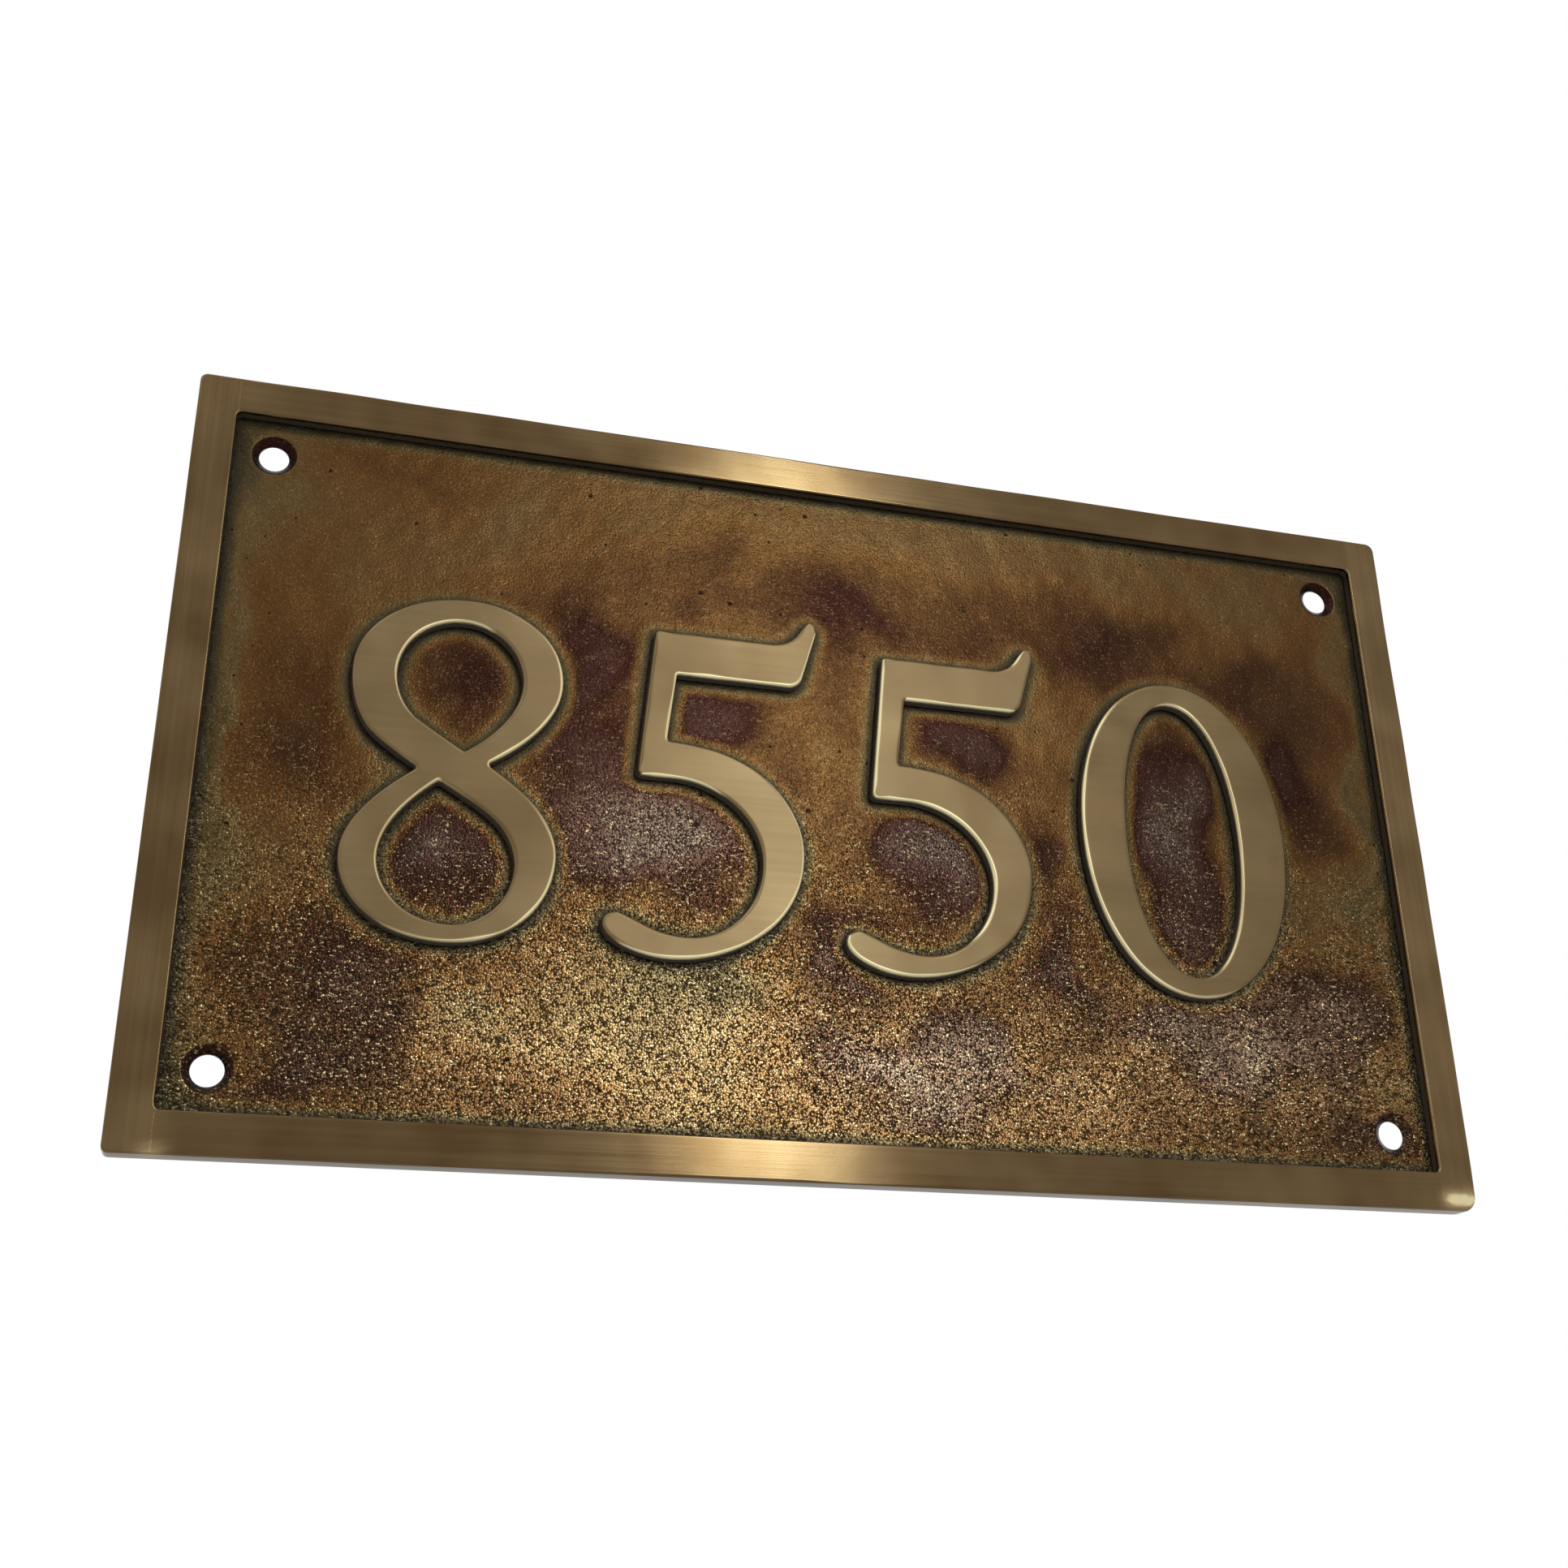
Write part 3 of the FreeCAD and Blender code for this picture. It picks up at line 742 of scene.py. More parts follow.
def heat(x, z, away):
    """How hot each point of the field once was, from 0 to 1.

    Slow swells round 0.36 are drawn towards each patch's heat by its bell, e to the power of -1.1 times
    the squared distance, after x and z are shifted by other swells so that no edge is regular.
    Near the relief, which carried the heat off, it falls to nearly nothing.
    """
    total = 0.36 + 0.08 * swells(x, z, 30.0, 60) + 0.04 * swells(x, z, 10.0, 61)
    x = x + 2.6 * swells(x, z, 18.0, 62) + 0.6 * swells(x, z, 6.0, 63)
    z = z + 2.6 * swells(x, z, 18.0, 64) + 0.6 * swells(x, z, 6.0, 65)
    for at_x, at_z, half_width, half_height, level in HEATED:
        apart = ((x - at_x) / half_width) ** 2 + ((z - at_z) / half_height) ** 2
        total += (level - total) * np.exp(-1.1 * apart)
    carried = np.clip((away - 0.4) / 2.6, 0, 1)
    return total * (0.15 + 0.85 * carried * carried * (3 - 2 * carried))


# Where painted sheen lies on the field, and where painted shade dulls the numerals (or, with a minus,
# a painted highlight lightens them): x, z, half width, half height, and how much
SHEEN_PATCHES = (
    (-24, -46, 42, 13, 1.0), (20, -49, 30, 10, 0.85), (72, -40, 30, 13, 0.9), (-32, -8, 16, 10, 0.25))
NUMERAL_PAINTED_LIGHT = ((-24, 18, 14, 10, 0.20), (-52, -8, 14, 18, 0.18), (-4, -16, 12, 16, -0.14))


def bells(x, z, table):
    """The sum of soft bumps: each is e to the power of minus the squared distance, which is counted in
    half widths across and in half heights up, times its own strength."""
    return sum(strength * np.exp(-((x - at_x) / half_width) ** 2 - ((z - at_z) / half_height) ** 2)
               for at_x, at_z, half_width, half_height, strength in table)


def is_numeral(x, z):
    """Whether each point lies where the numerals stand, and not the border."""
    return (np.abs(x) < HALF_WIDTH - NUMERALS_INSET) & (np.abs(z) < HALF_HEIGHT - NUMERALS_INSET)


def polish_and_painted_light(x, z):
    """How light the brushed brass is at each point, from 0 to 1, partly from sanding and partly painted
    light: the numerals most, the side borders a little more than the level ones and all more towards
    the right, with slow swells. Painted shade dulls the first five's bar and the eight's right side,
    a painted highlight lightens the first five's bowl, and painted highlights lie at the lower right
    corner and, smaller, at the lower left one."""
    numerals = is_numeral(x, z)
    sides = np.abs(x) > HALF_WIDTH - 6.4
    border = np.where(sides, 0.12, 0.10) + 0.07 * np.clip((x - 40) / 60, 0, 1)
    # The numerals take painted shade, and in one place a painted highlight, from the table
    level = np.where(numerals, 0.36 - bells(x, z, NUMERAL_PAINTED_LIGHT), border)
    level = level + 0.05 * swells(x, z, 24.0, 70) + 0.03 * swells(x, z, 7.0, 71)
    # Painted highlights at the lower right corner and, smaller, at the lower left one
    rubbed_and_highlight = 1.7 * np.exp(-((x - 104.9) / 3.4) ** 4 - ((z + 61.7) / 1.3) ** 2)
    rubbed_and_highlight += 0.10 * np.exp(-((np.hypot(x + 104, z + 59) / 5) ** 4))
    rubbed_and_highlight += 0.9 * np.exp(-((x + 101.5) / 1.6) ** 2 - ((z + 62.9) / 0.9) ** 2)
    return np.clip(level + rubbed_and_highlight, 0, 2)


def painted_edge_highlight(x, y, z, normals):
    """A painted highlight on the numerals' edges, from 0 to 1: most where an edge faces down and towards
    the plaque's middle, where the lamp's glow falls, and more on the numerals near there."""
    middle = -4.0
    inward = np.clip((middle - x) / 5, -1, 1)
    facing = np.clip((0.85 * inward * normals[:, 0] - 0.6 * normals[:, 2] - 0.015) / 0.13, 0, 1)
    edge = is_numeral(x, z) & (y < FRONT + 0.6)
    return np.where(edge, facing * (0.45 + 0.55 * np.exp(-((x - middle) / 55) ** 2)), 0.0)


def sheen_patches(x, z):
    """Painted sheen on the field at each point, from 0 to 1, where the lamp's glow falls: most in a long
    patch below the numerals, and a little in the first five's bowl."""
    return np.clip(bells(x, z, SHEEN_PATCHES) * (1 + 0.2 * swells(x, z, 14.0, 75)), 0, 1)


def add_layers(mesh, sizes, outlines):
    """The values that the materials read at each point: distance to the relief, heat, and polish with
    painted light: painted sheen on the field, painted highlights and shade on the brass.

    The countersinks are far from any relief and as hot as the maroon patches.
    """
    hole_distance, hole_heat = 3.0, 0.66
    points = np.empty(len(mesh.vertices) * 3)
    mesh.vertices.foreach_get("co", points)
    x, y, z = points.reshape(-1, 3).T / MM
    on_field = np.abs(y + sizes.web_thickness / MM) < 0.3
    distance = np.zeros_like(x)
    clear = np.minimum(distance_to(x[on_field], z[on_field], outlines),
                       inside_recess(x[on_field], z[on_field], sizes))
    distance[on_field] = clear
    in_hole = np.hypot(np.abs(x) - HOLE_X, np.abs(z) - HOLE_Z) < sizes.countersink_radius / MM + 0.04
    hot = np.where(in_hole, hole_heat, heat(x, z, distance))
    distance[in_hole] = hole_distance
    normals = np.empty(len(mesh.vertices) * 3)
    mesh.vertex_normals.foreach_get("vector", normals)
    # Painted highlight on the numerals' edges
    edge_highlight = 1.6 * painted_edge_highlight(x, y, z, normals.reshape(-1, 3))
    # Painted sheen on the field; polish with painted highlights and shade on the brass
    polish_and_light = np.where(on_field | in_hole, sheen_patches(x, z), polish_and_painted_light(x, z) + edge_highlight)
    for name, values in ((TO_RELIEF, distance), (HEAT, hot), (POLISH_AND_PAINTED_LIGHT, polish_and_light)):
        mesh.attributes.new(name, "FLOAT", "POINT").data.foreach_set("value", values)


class Graph:
    """A node tree, with short calls that add a node and give back its output."""

    def __init__(self, tree):
        self.tree = tree

    def node(self, kind, inputs=(), **settings):
        """Adds a node, sets its options, and gives its inputs plain values or other nodes' outputs."""
        node = self.tree.nodes.new("ShaderNode" + kind)
        for name, value in settings.items():
            setattr(node, name, value)
        for name, value in dict(inputs).items():
            if isinstance(value, bpy.types.NodeSocket):
                self.tree.links.new(value, node.inputs[name])
            else:
                node.inputs[name].default_value = value
        return node

    def math(self, operation, *values, clamp=False):
        """One Math node."""
        return self.node("Math", enumerate(values), operation=operation, use_clamp=clamp).outputs[0]

    def swing(self, noise, amount, value):
        """A value plus an amount times how far a noise is from its middle."""
        return self.math("MULTIPLY_ADD", self.math("SUBTRACT", noise, 0.5), amount, value)

    def step(self, value, low, high, start=0.0, end=1.0):
        """A smooth step from one value to another while the input goes from low to high."""
        names = {"Value": value, "From Min": low, "From Max": high, "To Min": start, "To Max": end}
        return self.node("MapRange", names, interpolation_type="SMOOTHSTEP").outputs[0]

    def mix(self, factor, first, second):
        """Two colours mixed by a factor."""
        return self.node("Mix", {"Factor": factor, 6: first, 7: second}, data_type="RGBA").outputs[2]

    def ramp(self, value, stops):
        """A colour that runs through stops, each a place from 0 to 1 and a colour."""
        node = self.node("ValToRGB", {0: value})
        elements = node.color_ramp.elements
        for index, (at, paint) in enumerate(stops):
            element = elements[index] if index < 2 else elements.new(at)
            element.position = at
            element.color = colour(paint)
        return node.outputs[0]

    def noise(self, vector, size, detail=2.0, roughness=0.5, distortion=0.0):
        """Cloudy noise whose largest features are about a length in millimetres."""
        sockets = {"Vector": vector, "Scale": 1 / size, "Detail": detail, "Roughness": roughness,
                   "Distortion": distortion}
        return self.node("TexNoise", sockets).outputs[0]

    def cells(self, vector, scale):
        """A scatter of cells: the distance to the nearest one's middle, and its colour drawn at random."""
        return self.node("TexVoronoi", {"Vector": vector, "Scale": scale, "Randomness": 1.0}).outputs

    def red(self, paint):
        """A colour's red, as a number drawn for each cell."""
        return self.node("SeparateColor", {0: paint}).outputs[0]

    def stretched(self, vector, scale):
        """A vector with each of its parts multiplied by a number of its own."""
        return self.node("VectorMath", {0: vector, 1: scale}, operation="MULTIPLY").outputs[0]

    def scaled(self, vector, factor):
        """A vector or a colour times a number."""
        return self.node("VectorMath", {0: vector, "Scale": factor}, operation="SCALE").outputs[0]

    def attribute(self, name):
        """A value that the mesh carries at each point."""
        return self.node("Attribute", attribute_name=name, attribute_type="GEOMETRY").outputs["Fac"]

    def millimetres(self):
        """Object coordinates in millimetres."""
        place = self.node("TexCoord").outputs["Object"]
        return self.stretched(place, (1 / MM, 1 / MM, 1 / MM))

    def group(self, tree, **inputs):
        """A group's outputs, with inputs named with _ for a blank."""
        inputs = {name.replace("_", " "): value for name, value in inputs.items()}
        return self.node("Group", inputs, node_tree=tree).outputs

    def feed(self, node, **values):
        """Links values to a node's inputs, each named with _ for a blank."""
        for name, value in values.items():
            self.tree.links.new(value, node.inputs[name.replace("_", " ")])


def new_group(name, inputs, outputs):
    """A node group with named sockets, given as (kind, name, default) and, for its outputs, as names of
    numbers. Returns its graph, its input sockets by name and the node that its outputs are fed to."""
    tree = bpy.data.node_groups.new(name, "ShaderNodeTree")
    for kind, label, default in inputs:
        socket = tree.interface.new_socket(label, in_out="INPUT", socket_type="NodeSocket" + kind)
        socket.default_value = default
    for label in outputs:
        tree.interface.new_socket(label, in_out="OUTPUT", socket_type="NodeSocketFloat")
    graph = Graph(tree)
    given = tree.nodes.new("NodeGroupInput").outputs
    put_out = tree.nodes.new("NodeGroupOutput")
    return graph, given, put_out


def make_sanding_group():
    """Straight sanding marks, level or upright: fine ones everywhere and sparse deep scratches."""
    graph, given, put_out = new_group(
        "Sanding Marks",
        [("Vector", "Place", (0, 0, 0)), ("Float", "Upright", 0.0), ("Float", "Mark Width", 0.3)],
        ["Height", "Shade"])
    narrow = graph.math("DIVIDE", 1.0, given["Mark Width"])
    parts = graph.node("SeparateXYZ", {0: given["Place"]}).outputs
    upright = given["Upright"]
    level = graph.math("SUBTRACT", 1.0, upright)
    run = graph.math("MULTIPLY_ADD", parts["X"], level, graph.math("MULTIPLY", parts["Z"], upright))
    across = graph.math("MULTIPLY_ADD", parts["Z"], level, graph.math("MULTIPLY", parts["X"], upright))
    across = graph.math("MULTIPLY", across, narrow)
    marks = []
    for length, crowd, seed in ((34.0, 1.0, 0.0), (17.0, 2.3, 40.0), (70.0, 0.37, 80.0)):
        along = graph.math("MULTIPLY_ADD", run, 1 / length, seed)
        place = graph.node("CombineXYZ", {"X": along, "Y": graph.math("MULTIPLY", across, crowd)})
        marks.append(graph.noise(place.outputs[0], 1.0, 2.0, 0.6))
    fine = graph.math("MULTIPLY_ADD", marks[1], 0.45, graph.math("MULTIPLY", marks[0], 0.55))
    scratch = graph.step(marks[2], 0.68, 0.74)
    height = graph.math("SUBTRACT", fine, graph.math("MULTIPLY", scratch, 0.5))
    shade = graph.math("MULTIPLY_ADD", marks[2], 0.6, graph.math("MULTIPLY", fine, 0.4))
    graph.feed(put_out, Height=height, Shade=shade)
    return graph.tree


def make_grain_group():
    """The skin that casting in sand leaves: soft grains with gaps, small dark pits, and a scatter of
    flecks that the field's painted glints use.
    """
    graph, given, put_out = new_group(
        "Sand Cast Grain",
        [("Vector", "Place", (0, 0, 0)), ("Float", "Grain Size", 0.45)],
        ["Height", "Gap", "Glint", "Pit"])
    place = graph.scaled(given["Place"], graph.math("DIVIDE", 1.0, given["Grain Size"]))
    cells = graph.cells(place, 1.0)
    dome = graph.math("MULTIPLY", cells["Distance"], cells["Distance"])
    steepness = graph.math("MULTIPLY_ADD", graph.red(cells["Color"]), -0.9, -0.55)
    dome = graph.math("MULTIPLY", dome, steepness)
    lumps = graph.noise(place, 3.0, 3.0, 0.6)
    height = graph.math("MULTIPLY_ADD", lumps, 0.35, dome)
    gap = graph.step(graph.swing(lumps, -1.1, cells["Distance"]), 0.40, 0.72)
    flecks = graph.noise(graph.stretched(place, (0.75, 1.0, 1.2)), 1.2, 2.0, 0.6)
    pits = []
    for crowd, share, reach in ((0.21, 0.72, 0.11), (0.42, 0.74, 0.13)):
        spots = graph.cells(given["Place"], crowd)
        keep = graph.math("GREATER_THAN", graph.red(spots["Color"]), share)
        pit = graph.step(spots["Distance"], 0.4 * reach, reach, 1.0, 0.0)
        pits.append(graph.math("MULTIPLY", keep, pit))
    graph.feed(put_out, Height=height, Gap=gap, Glint=graph.step(flecks, 0.58, 0.67),
               Pit=graph.math("MAXIMUM", *pits))
    return graph.tree


def colour(values):
    """A colour with its alpha, for a socket."""
    return (*values, 1.0)


def new_material(name):
    """A material with only a Principled BSDF and its output. Returns it, its graph and the shader."""
    material = bpy.data.materials.new(name)
    material.use_nodes = True
    graph = Graph(material.node_tree)
    shader = material.node_tree.nodes["Principled BSDF"]
    shader.inputs["Metallic"].default_value = 1.0
    return material, graph, shader


def make_brushed(finish, sanding, grain):
    """Sanded brass: straight marks on the faces, grimy walls, and the painted highlights and shade
    that the polish layer carries.
    """
    material, graph, shader = new_material("Brushed Brass")
    place = graph.millimetres()
    parts = graph.node("SeparateXYZ", {0: place}).outputs
    polish_with_light = graph.attribute(POLISH_AND_PAINTED_LIGHT)

    # What is a numeral, what isn't the plate's outer side, what is a wall and what is below a face
    past_x = graph.math("SUBTRACT", graph.math("ABSOLUTE", parts["X"]), HALF_WIDTH)
    past_z = graph.math("SUBTRACT", graph.math("ABSOLUTE", parts["Z"]), HALF_HEIGHT)
    past = graph.math("MAXIMUM", past_x, past_z)
    numeral = graph.step(past, -NUMERALS_INSET, 1 - NUMERALS_INSET, 1.0, 0.0)
    within = graph.step(past, -1.2, -0.6, 1.0, 0.15)
    wall = graph.math("MULTIPLY_ADD", graph.noise(place, 1.0, 3.0, 0.6), 0.5, parts["Y"])
    wall = graph.math("MULTIPLY_ADD", numeral, 0.25, wall)
    wall = graph.math("MULTIPLY", graph.step(wall, FRONT + 0.85, FRONT + 1.15), within)
    rubbed_and_highlight = graph.step(parts["Y"], FRONT + 0.003, FRONT + 0.06)

    # The marks run upright on the side borders and level elsewhere
    side = graph.math("MULTIPLY_ADD", graph.noise(place, 3.0), 0.3, graph.math("ABSOLUTE", parts["X"]))
    side = graph.step(side, JOINT - 0.05, JOINT + 0.2)
    marks = graph.group(sanding, Place=place, Upright=side, Mark_Width=0.35)
    cast = graph.group(grain, Place=place, Grain_Size=0.4)
    cloud = graph.noise(place, 16.0, 3.0, 0.55, 0.5)

    # Colour, with the painted highlights and shade that the polish layer carries
    polish_and_light = graph.swing(cloud, 0.2, graph.swing(marks["Shade"], 0.24, polish_with_light))
    polish_and_light = graph.math("MULTIPLY_ADD", rubbed_and_highlight, 0.15, polish_and_light, clamp=True)
    base = graph.mix(polish_and_light, colour(finish.brass), colour(finish.bright))
    base = graph.mix(graph.step(cloud, 0.5, 0.75, 0.0, 0.25), base, colour(finish.rust))
    # Painted highlight on edges and corners that face the lamp's glow
    base = graph.mix(graph.step(polish_with_light, 0.9, 1.6), base, colour(finish.painted_highlight))
    base = graph.mix(wall, base, colour(finish.grime))

    # Sheen: it spreads across the marks
    rough = graph.math("MULTIPLY_ADD", numeral, 0.25, graph.step(marks["Shade"], 0.3, 0.7, 0.15, 0.19))
    rough = graph.math("MULTIPLY_ADD", rubbed_and_highlight, -0.12, graph.math("MULTIPLY_ADD", cloud, 0.04, rough))
    rough = graph.math("MULTIPLY_ADD", wall, 0.3, rough)
    shader.inputs["Anisotropic"].default_value = 0.72
    shader.inputs["Anisotropic Rotation"].default_value = 0.25
    along = graph.node("CombineXYZ", {"X": graph.math("SUBTRACT", 1.0, side), "Y": 0.3, "Z": side})

    # The marks stand out on the faces and the cast skin on the walls
    height = graph.math("MULTIPLY", marks["Height"], graph.math("SUBTRACT", 1.0, wall))
    height = graph.math("MULTIPLY_ADD", graph.math("MULTIPLY", cast["Height"], wall), 3.0, height)
    bump = graph.node("Bump", {"Strength": 0.5, "Distance": 0.02 * MM, "Height": height})
    graph.feed(shader, Base_Color=base, Metallic=graph.math("MULTIPLY_ADD", wall, -0.85, 1.0),
               Roughness=rough, Tangent=along.outputs[0], Normal=bump.outputs[0])
    return material


def make_field(finish, grain):
    """The cast field under its flame patina, dark at the foot of the walls, with painted shade beside
    the relief and in the upper field, and painted sheen and glints in the lower field.
    """
    material, graph, shader = new_material("Patinated Field")
    place = graph.millimetres()
    away = graph.attribute(TO_RELIEF)
    sheen_area = graph.attribute(POLISH_AND_PAINTED_LIGHT)
    cast = graph.group(grain, Place=place, Grain_Size=0.38)
    cloud = graph.noise(place, 6.0, 4.0, 0.6, 0.4)
    fleck = graph.noise(place, 1.3, 3.0, 0.6)
    up = graph.node("SeparateXYZ", {0: place}).outputs["Z"]

    # The skin is coarse, with darker gaps and more painted glints, in the lower field and hottest patches
    low = graph.step(graph.swing(cloud, 60.0, up), -34.0, 12.0, 1.0, 0.2)
    hot = graph.swing(fleck, 0.06, graph.swing(cloud, 0.05, graph.attribute(HEAT)))
    coarse = graph.math("MAXIMUM", low, graph.step(hot, 0.62, 0.95, 0.0, 0.85))

    # The flame's colours, with soot at the foot of the walls
    base = graph.ramp(hot, ((0.0, finish.olive), (0.2, finish.gold), (0.38, finish.rust),
                            (0.62, finish.maroon), (0.81, finish.violet), (1.0, finish.mauve)))
    near = graph.swing(fleck, 1.2, away)
    base = graph.mix(graph.step(near, -0.1, 0.5, 0.8, 0.0), base, colour(finish.soot))

    # Painted sheen lightens the grains in the lower field; the gaps, darkened partly as dirt and partly
    # as painted shade, and the pits stay dark
    sheen = graph.math("MULTIPLY", graph.math("MAXIMUM", graph.swing(cloud, 2.2, 1.0), 0.0), sheen_area)
    sheen = graph.math("MULTIPLY", sheen, graph.math("MULTIPLY_ADD", cast["Gap"], -0.9, 1.0))
    base = graph.scaled(base, graph.math("MULTIPLY_ADD", sheen, 1.3, 1.0))
    base = graph.mix(graph.math("MULTIPLY", sheen, 0.25, clamp=True), base, colour(finish.sheen_gold))
    gap = graph.math("MULTIPLY", cast["Gap"], graph.math("MULTIPLY", coarse, 0.80))
    base = graph.mix(gap, base, colour(finish.soot))
    base = graph.mix(cast["Pit"], base, colour(finish.soot))
    # Painted glints: bright flecks where the lamp would sparkle on the grains
    painted_glint = graph.math("MULTIPLY", graph.math("MULTIPLY_ADD", sheen_area, 0.42, 0.28), coarse)
    painted_glint = graph.math("MULTIPLY", cast["Glint"], painted_glint, clamp=True)
    base = graph.mix(painted_glint, base, colour(finish.painted_glint))

    # Painted shade: darker beside the relief, where the walls shade the field, and in the upper
    # field, away from the lamp's glow
    shade = graph.math("MULTIPLY", graph.step(away, 0.3, 2.6, 0.62, 1.0),
                       graph.math("MULTIPLY_ADD", low, 0.28, 0.72))
    base = graph.scaled(base, shade)

    # Duller beside the relief, and the grain stands out where the skin is coarse
    crust = graph.step(away, 0.2, 1.8, 1.0, 0.0)
    rough = graph.math("MULTIPLY_ADD", crust, 0.16, graph.step(fleck, 0.35, 0.65, 0.22, 0.28))
    rough = graph.math("MULTIPLY_ADD", low, -0.10, graph.math("ADD", rough, 0.10))
    height = graph.math("SUBTRACT", cast["Height"], graph.math("MULTIPLY", cast["Pit"], 1.5))
    height = graph.math("MULTIPLY", height, graph.math("MULTIPLY_ADD", coarse, 0.7, 0.3))
    bump = graph.node("Bump", {"Strength": 1.0, "Distance": 0.066 * MM, "Height": height})
    graph.feed(shader, Base_Color=base, Roughness=rough,
               Metallic=graph.math("MULTIPLY_ADD", crust, -0.10, 1.0), Normal=bump.outputs[0])
    return material


def make_back(finish, grain):
    """The back, as cast: dull dark brass."""
    material, graph, shader = new_material("Cast Back")
    place = graph.millimetres()
    cast = graph.group(grain, Place=place, Grain_Size=0.6)
    cloud = graph.noise(place, 22.0, 4.0, 0.6)
    base = graph.mix(graph.step(cloud, 0.35, 0.65), colour(finish.gold), colour(finish.brass))
    base = graph.mix(cast["Pit"], base, colour(finish.soot))
    bump = graph.node("Bump", {"Strength": 0.6, "Distance": 0.12 * MM, "Height": cast["Height"]})
    graph.feed(shader, Base_Color=base, Roughness=graph.step(cloud, 0.3, 0.7, 0.45, 0.6),
               Normal=bump.outputs[0])
    return material


class PLAQUE_OT_casting(Operator):
    """Build the plaque's casting: web, border, numerals and screw holes"""

    bl_idname = "plaque.casting"
    bl_label = "Plaque Casting"

    def execute(self, context):
        sizes, finish = context.scene.plaque_sizes, context.scene.plaque_finish
        casting = Casting()
        add_plate(casting, sizes)
        outlines = add_numerals(casting, sizes)
        mesh = casting.mesh("brass_plaque")
        mesh.shade_smooth()
        mesh.set_sharp_from_angle(angle=math.radians(38))
        add_layers(mesh, sizes, outlines)
        sanding, grain = make_sanding_group(), make_grain_group()
        for material in (make_brushed(finish, sanding, grain), make_field(finish, grain),
                         make_back(finish, grain)):
            mesh.materials.append(material)
        plaque = bpy.data.objects.new("brass_plaque", mesh)
        context.scene.collection.objects.link(plaque)
        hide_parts("plaque")
        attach(plaque, "root")
        return {"FINISHED"}


class PLAQUE_OT_stage(Operator):
    """Set up the floor, the lamps, the white surroundings and the camera"""

    bl_idname = "plaque.stage"
    bl_label = "Stage"

    def execute(self, context):
        add_floor(context.scene)
        add_lamps(context.scene)
        set_surroundings(context.scene)
        add_camera(context.scene)
        context.scene.view_settings.view_transform = "Standard"
        return {"FINISHED"}


def add_floor(scene):
    """A plain pale floor, lower than the camera."""
    level, half = -0.21, 4.0
    corners = [(x * half, y * half, level) for x, y in ((-1, -1), (1, -1), (1, 1), (-1, 1))]
    mesh = bpy.data.meshes.new("floor")
    mesh.from_pydata(corners, [], [(0, 1, 2, 3)])
    material = bpy.data.materials.new("Floor")
    material.use_nodes = True
    shader = material.node_tree.nodes["Principled BSDF"]
    shader.inputs["Base Color"].default_value = (0.8, 0.8, 0.8, 1)
    shader.inputs["Roughness"].default_value = 0.9
    mesh.materials.append(material)
    floor = bpy.data.objects.new("floor", mesh)
    scene.collection.objects.link(floor)


def add_lamps(scene):
    """A tall narrow lamp in front and to the upper right, whose glow crosses the plaque from top to foot
    near its middle, and a broad weak one above. Both are a cool white."""
    for name, place, width, height, power in (
            ("front_lamp", (0.250, -0.928, 0.37), 0.10, 0.50, 3.3),
            ("top_lamp", (-0.5, -0.7, 1.2), 1.0, 1.0, 4.0)):
        lamp = bpy.data.lights.new(name, "AREA")
        lamp.shape = "RECTANGLE"
        lamp.size = width
        lamp.size_y = height
        lamp.energy = power
        lamp.color = (0.85, 0.96, 1.0)
        item = bpy.data.objects.new(name, lamp)
        item.location = place
        item.rotation_euler = Vector(place).to_track_quat("Z", "Y").to_euler()
        scene.collection.objects.link(item)


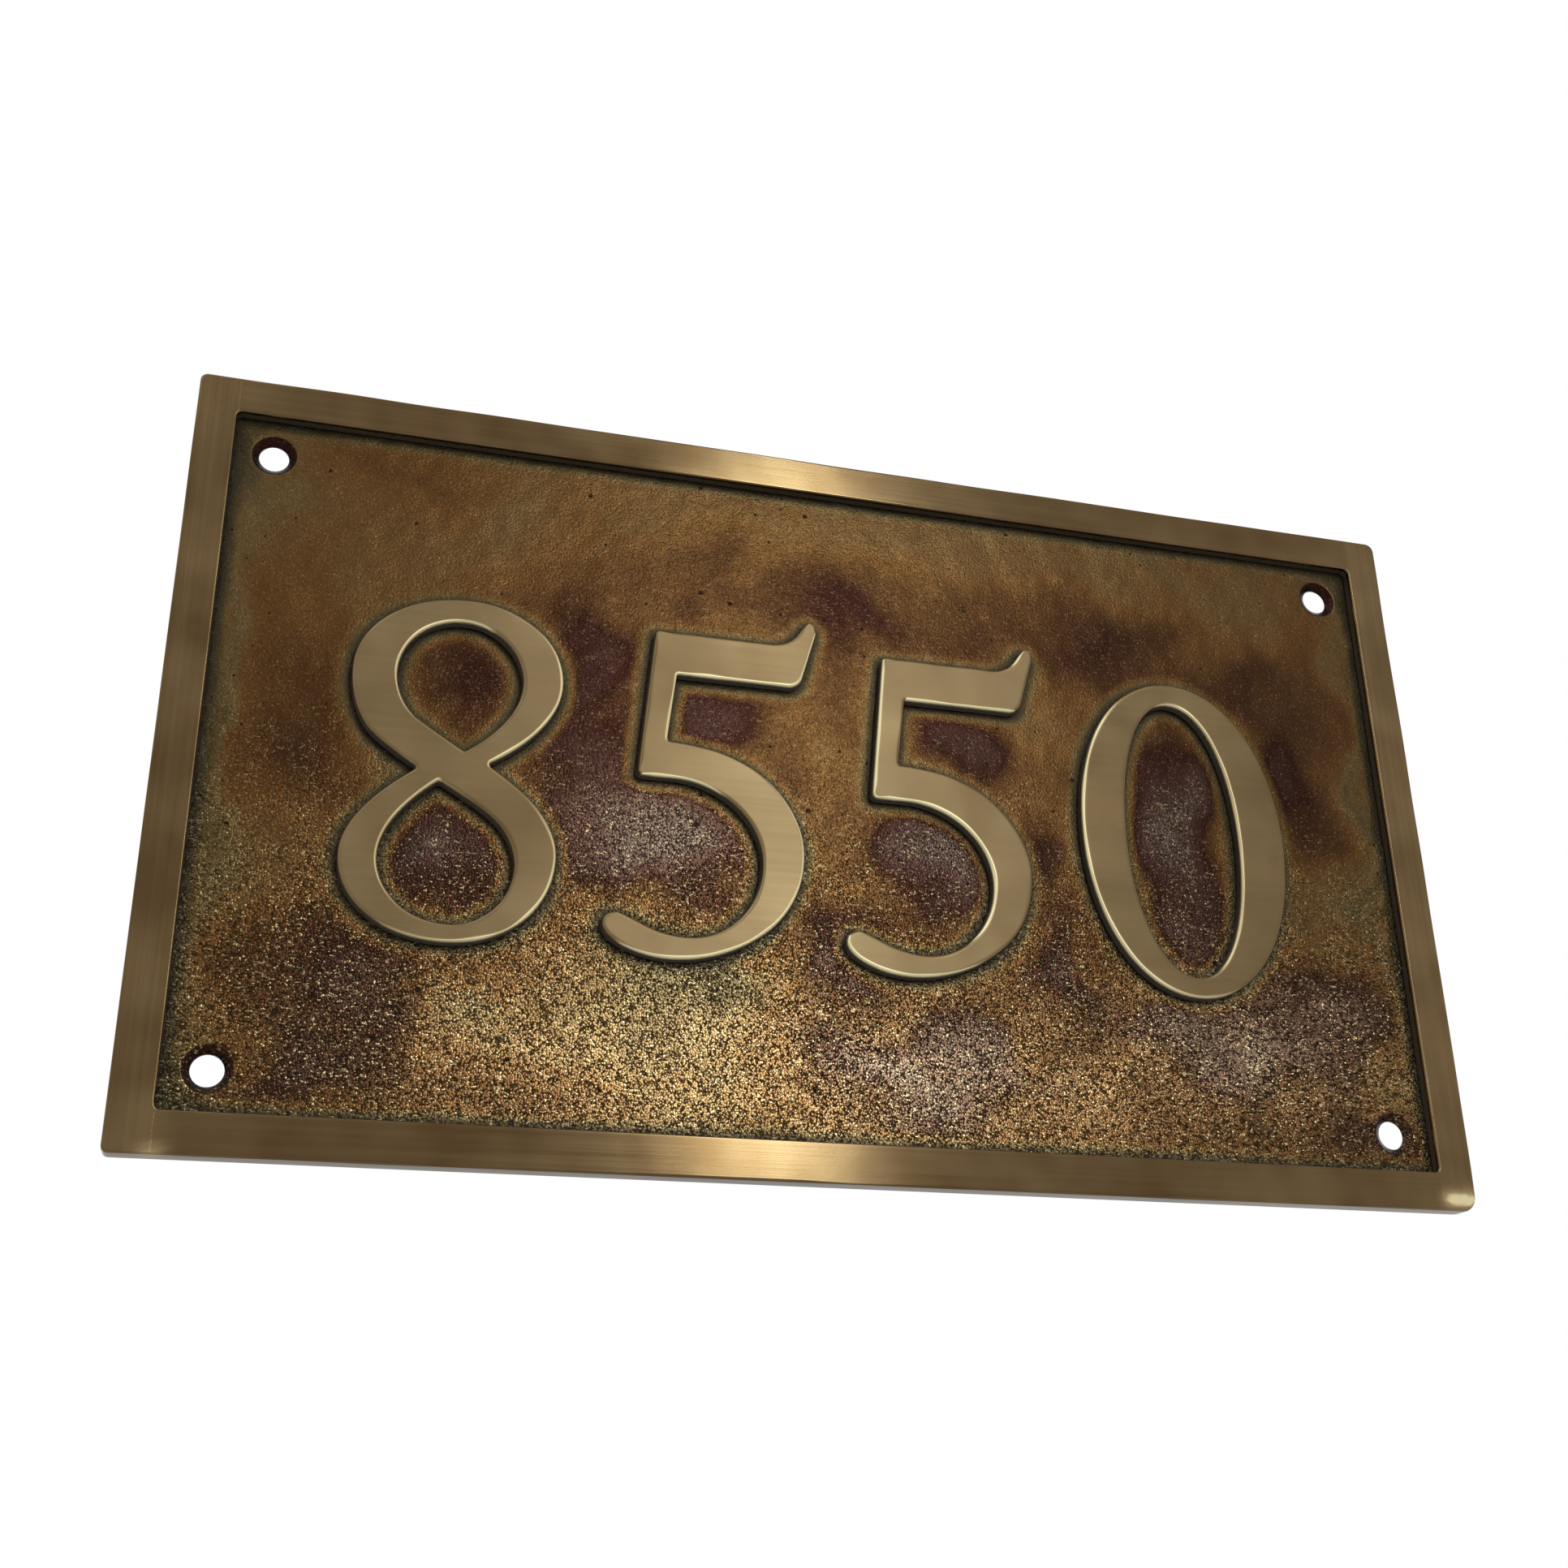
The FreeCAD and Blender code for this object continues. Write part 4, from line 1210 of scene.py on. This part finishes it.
def set_surroundings(scene):
    """White where the camera or a mirror ray looks, and a weaker even light for everything else."""
    world = bpy.data.worlds.new("Surroundings")
    world.use_nodes = True
    scene.world = world
    graph = Graph(world.node_tree)
    rays = graph.node("LightPath").outputs
    seen = graph.math("MAXIMUM", rays["Is Camera Ray"], rays["Is Glossy Ray"])
    seen = graph.math("MAXIMUM", seen, rays["Is Transmission Ray"])
    background = world.node_tree.nodes["Background"]
    background.inputs["Color"].default_value = (1, 1, 1, 1)
    graph.feed(background, Strength=graph.step(seen, 0.0, 1.0, 0.75, 1.0))


def add_camera(scene):
    """The camera at the photograph's place: close, to the left of the plaque and below it."""
    place = Vector((-0.08962, -0.27084, -0.11952))
    right = Vector((0.96072, -0.27711, -0.01484))
    up = Vector((-0.09684, -0.38486, 0.91788))
    camera = bpy.data.cameras.new("camera")
    camera.sensor_width = 36.0
    camera.lens = 42.96
    camera.clip_start = 0.01
    item = bpy.data.objects.new("camera", camera)
    turn = Matrix((right, up, right.cross(up))).transposed()
    item.matrix_world = Matrix.Translation(place) @ turn.to_4x4()
    scene.collection.objects.link(item)
    scene.camera = item


class PLAQUE_PT_panel(Panel):
    """The plaque's sizes, colours and steps"""

    bl_idname = "PLAQUE_PT_panel"
    bl_label = "House Number Plaque"
    bl_space_type = "VIEW_3D"
    bl_region_type = "UI"
    bl_category = "Plaque"

    def draw(self, context):
        for group in (context.scene.plaque_sizes, context.scene.plaque_finish):
            box = self.layout.box()
            for name in group.__annotations__:
                box.prop(group, name)
        for operator in (PLAQUE_OT_casting, PLAQUE_OT_stage):
            self.layout.operator(operator.bl_idname)


CLASSES = (PlaqueSizes, PlaqueFinish, PLAQUE_OT_casting, PLAQUE_OT_stage, PLAQUE_PT_panel)


def register():
    """Adds the classes and the scene's settings."""
    for item in CLASSES:
        bpy.utils.register_class(item)
    bpy.types.Scene.plaque_sizes = PointerProperty(type=PlaqueSizes)
    bpy.types.Scene.plaque_finish = PointerProperty(type=PlaqueFinish)


def unregister():
    """Takes them away again."""
    del bpy.types.Scene.plaque_finish
    del bpy.types.Scene.plaque_sizes
    for item in reversed(CLASSES):
        bpy.utils.unregister_class(item)


def main():
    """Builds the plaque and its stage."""
    register()
    bpy.ops.plaque.casting()
    bpy.ops.plaque.stage()


if __name__ == "__main__":
    main()
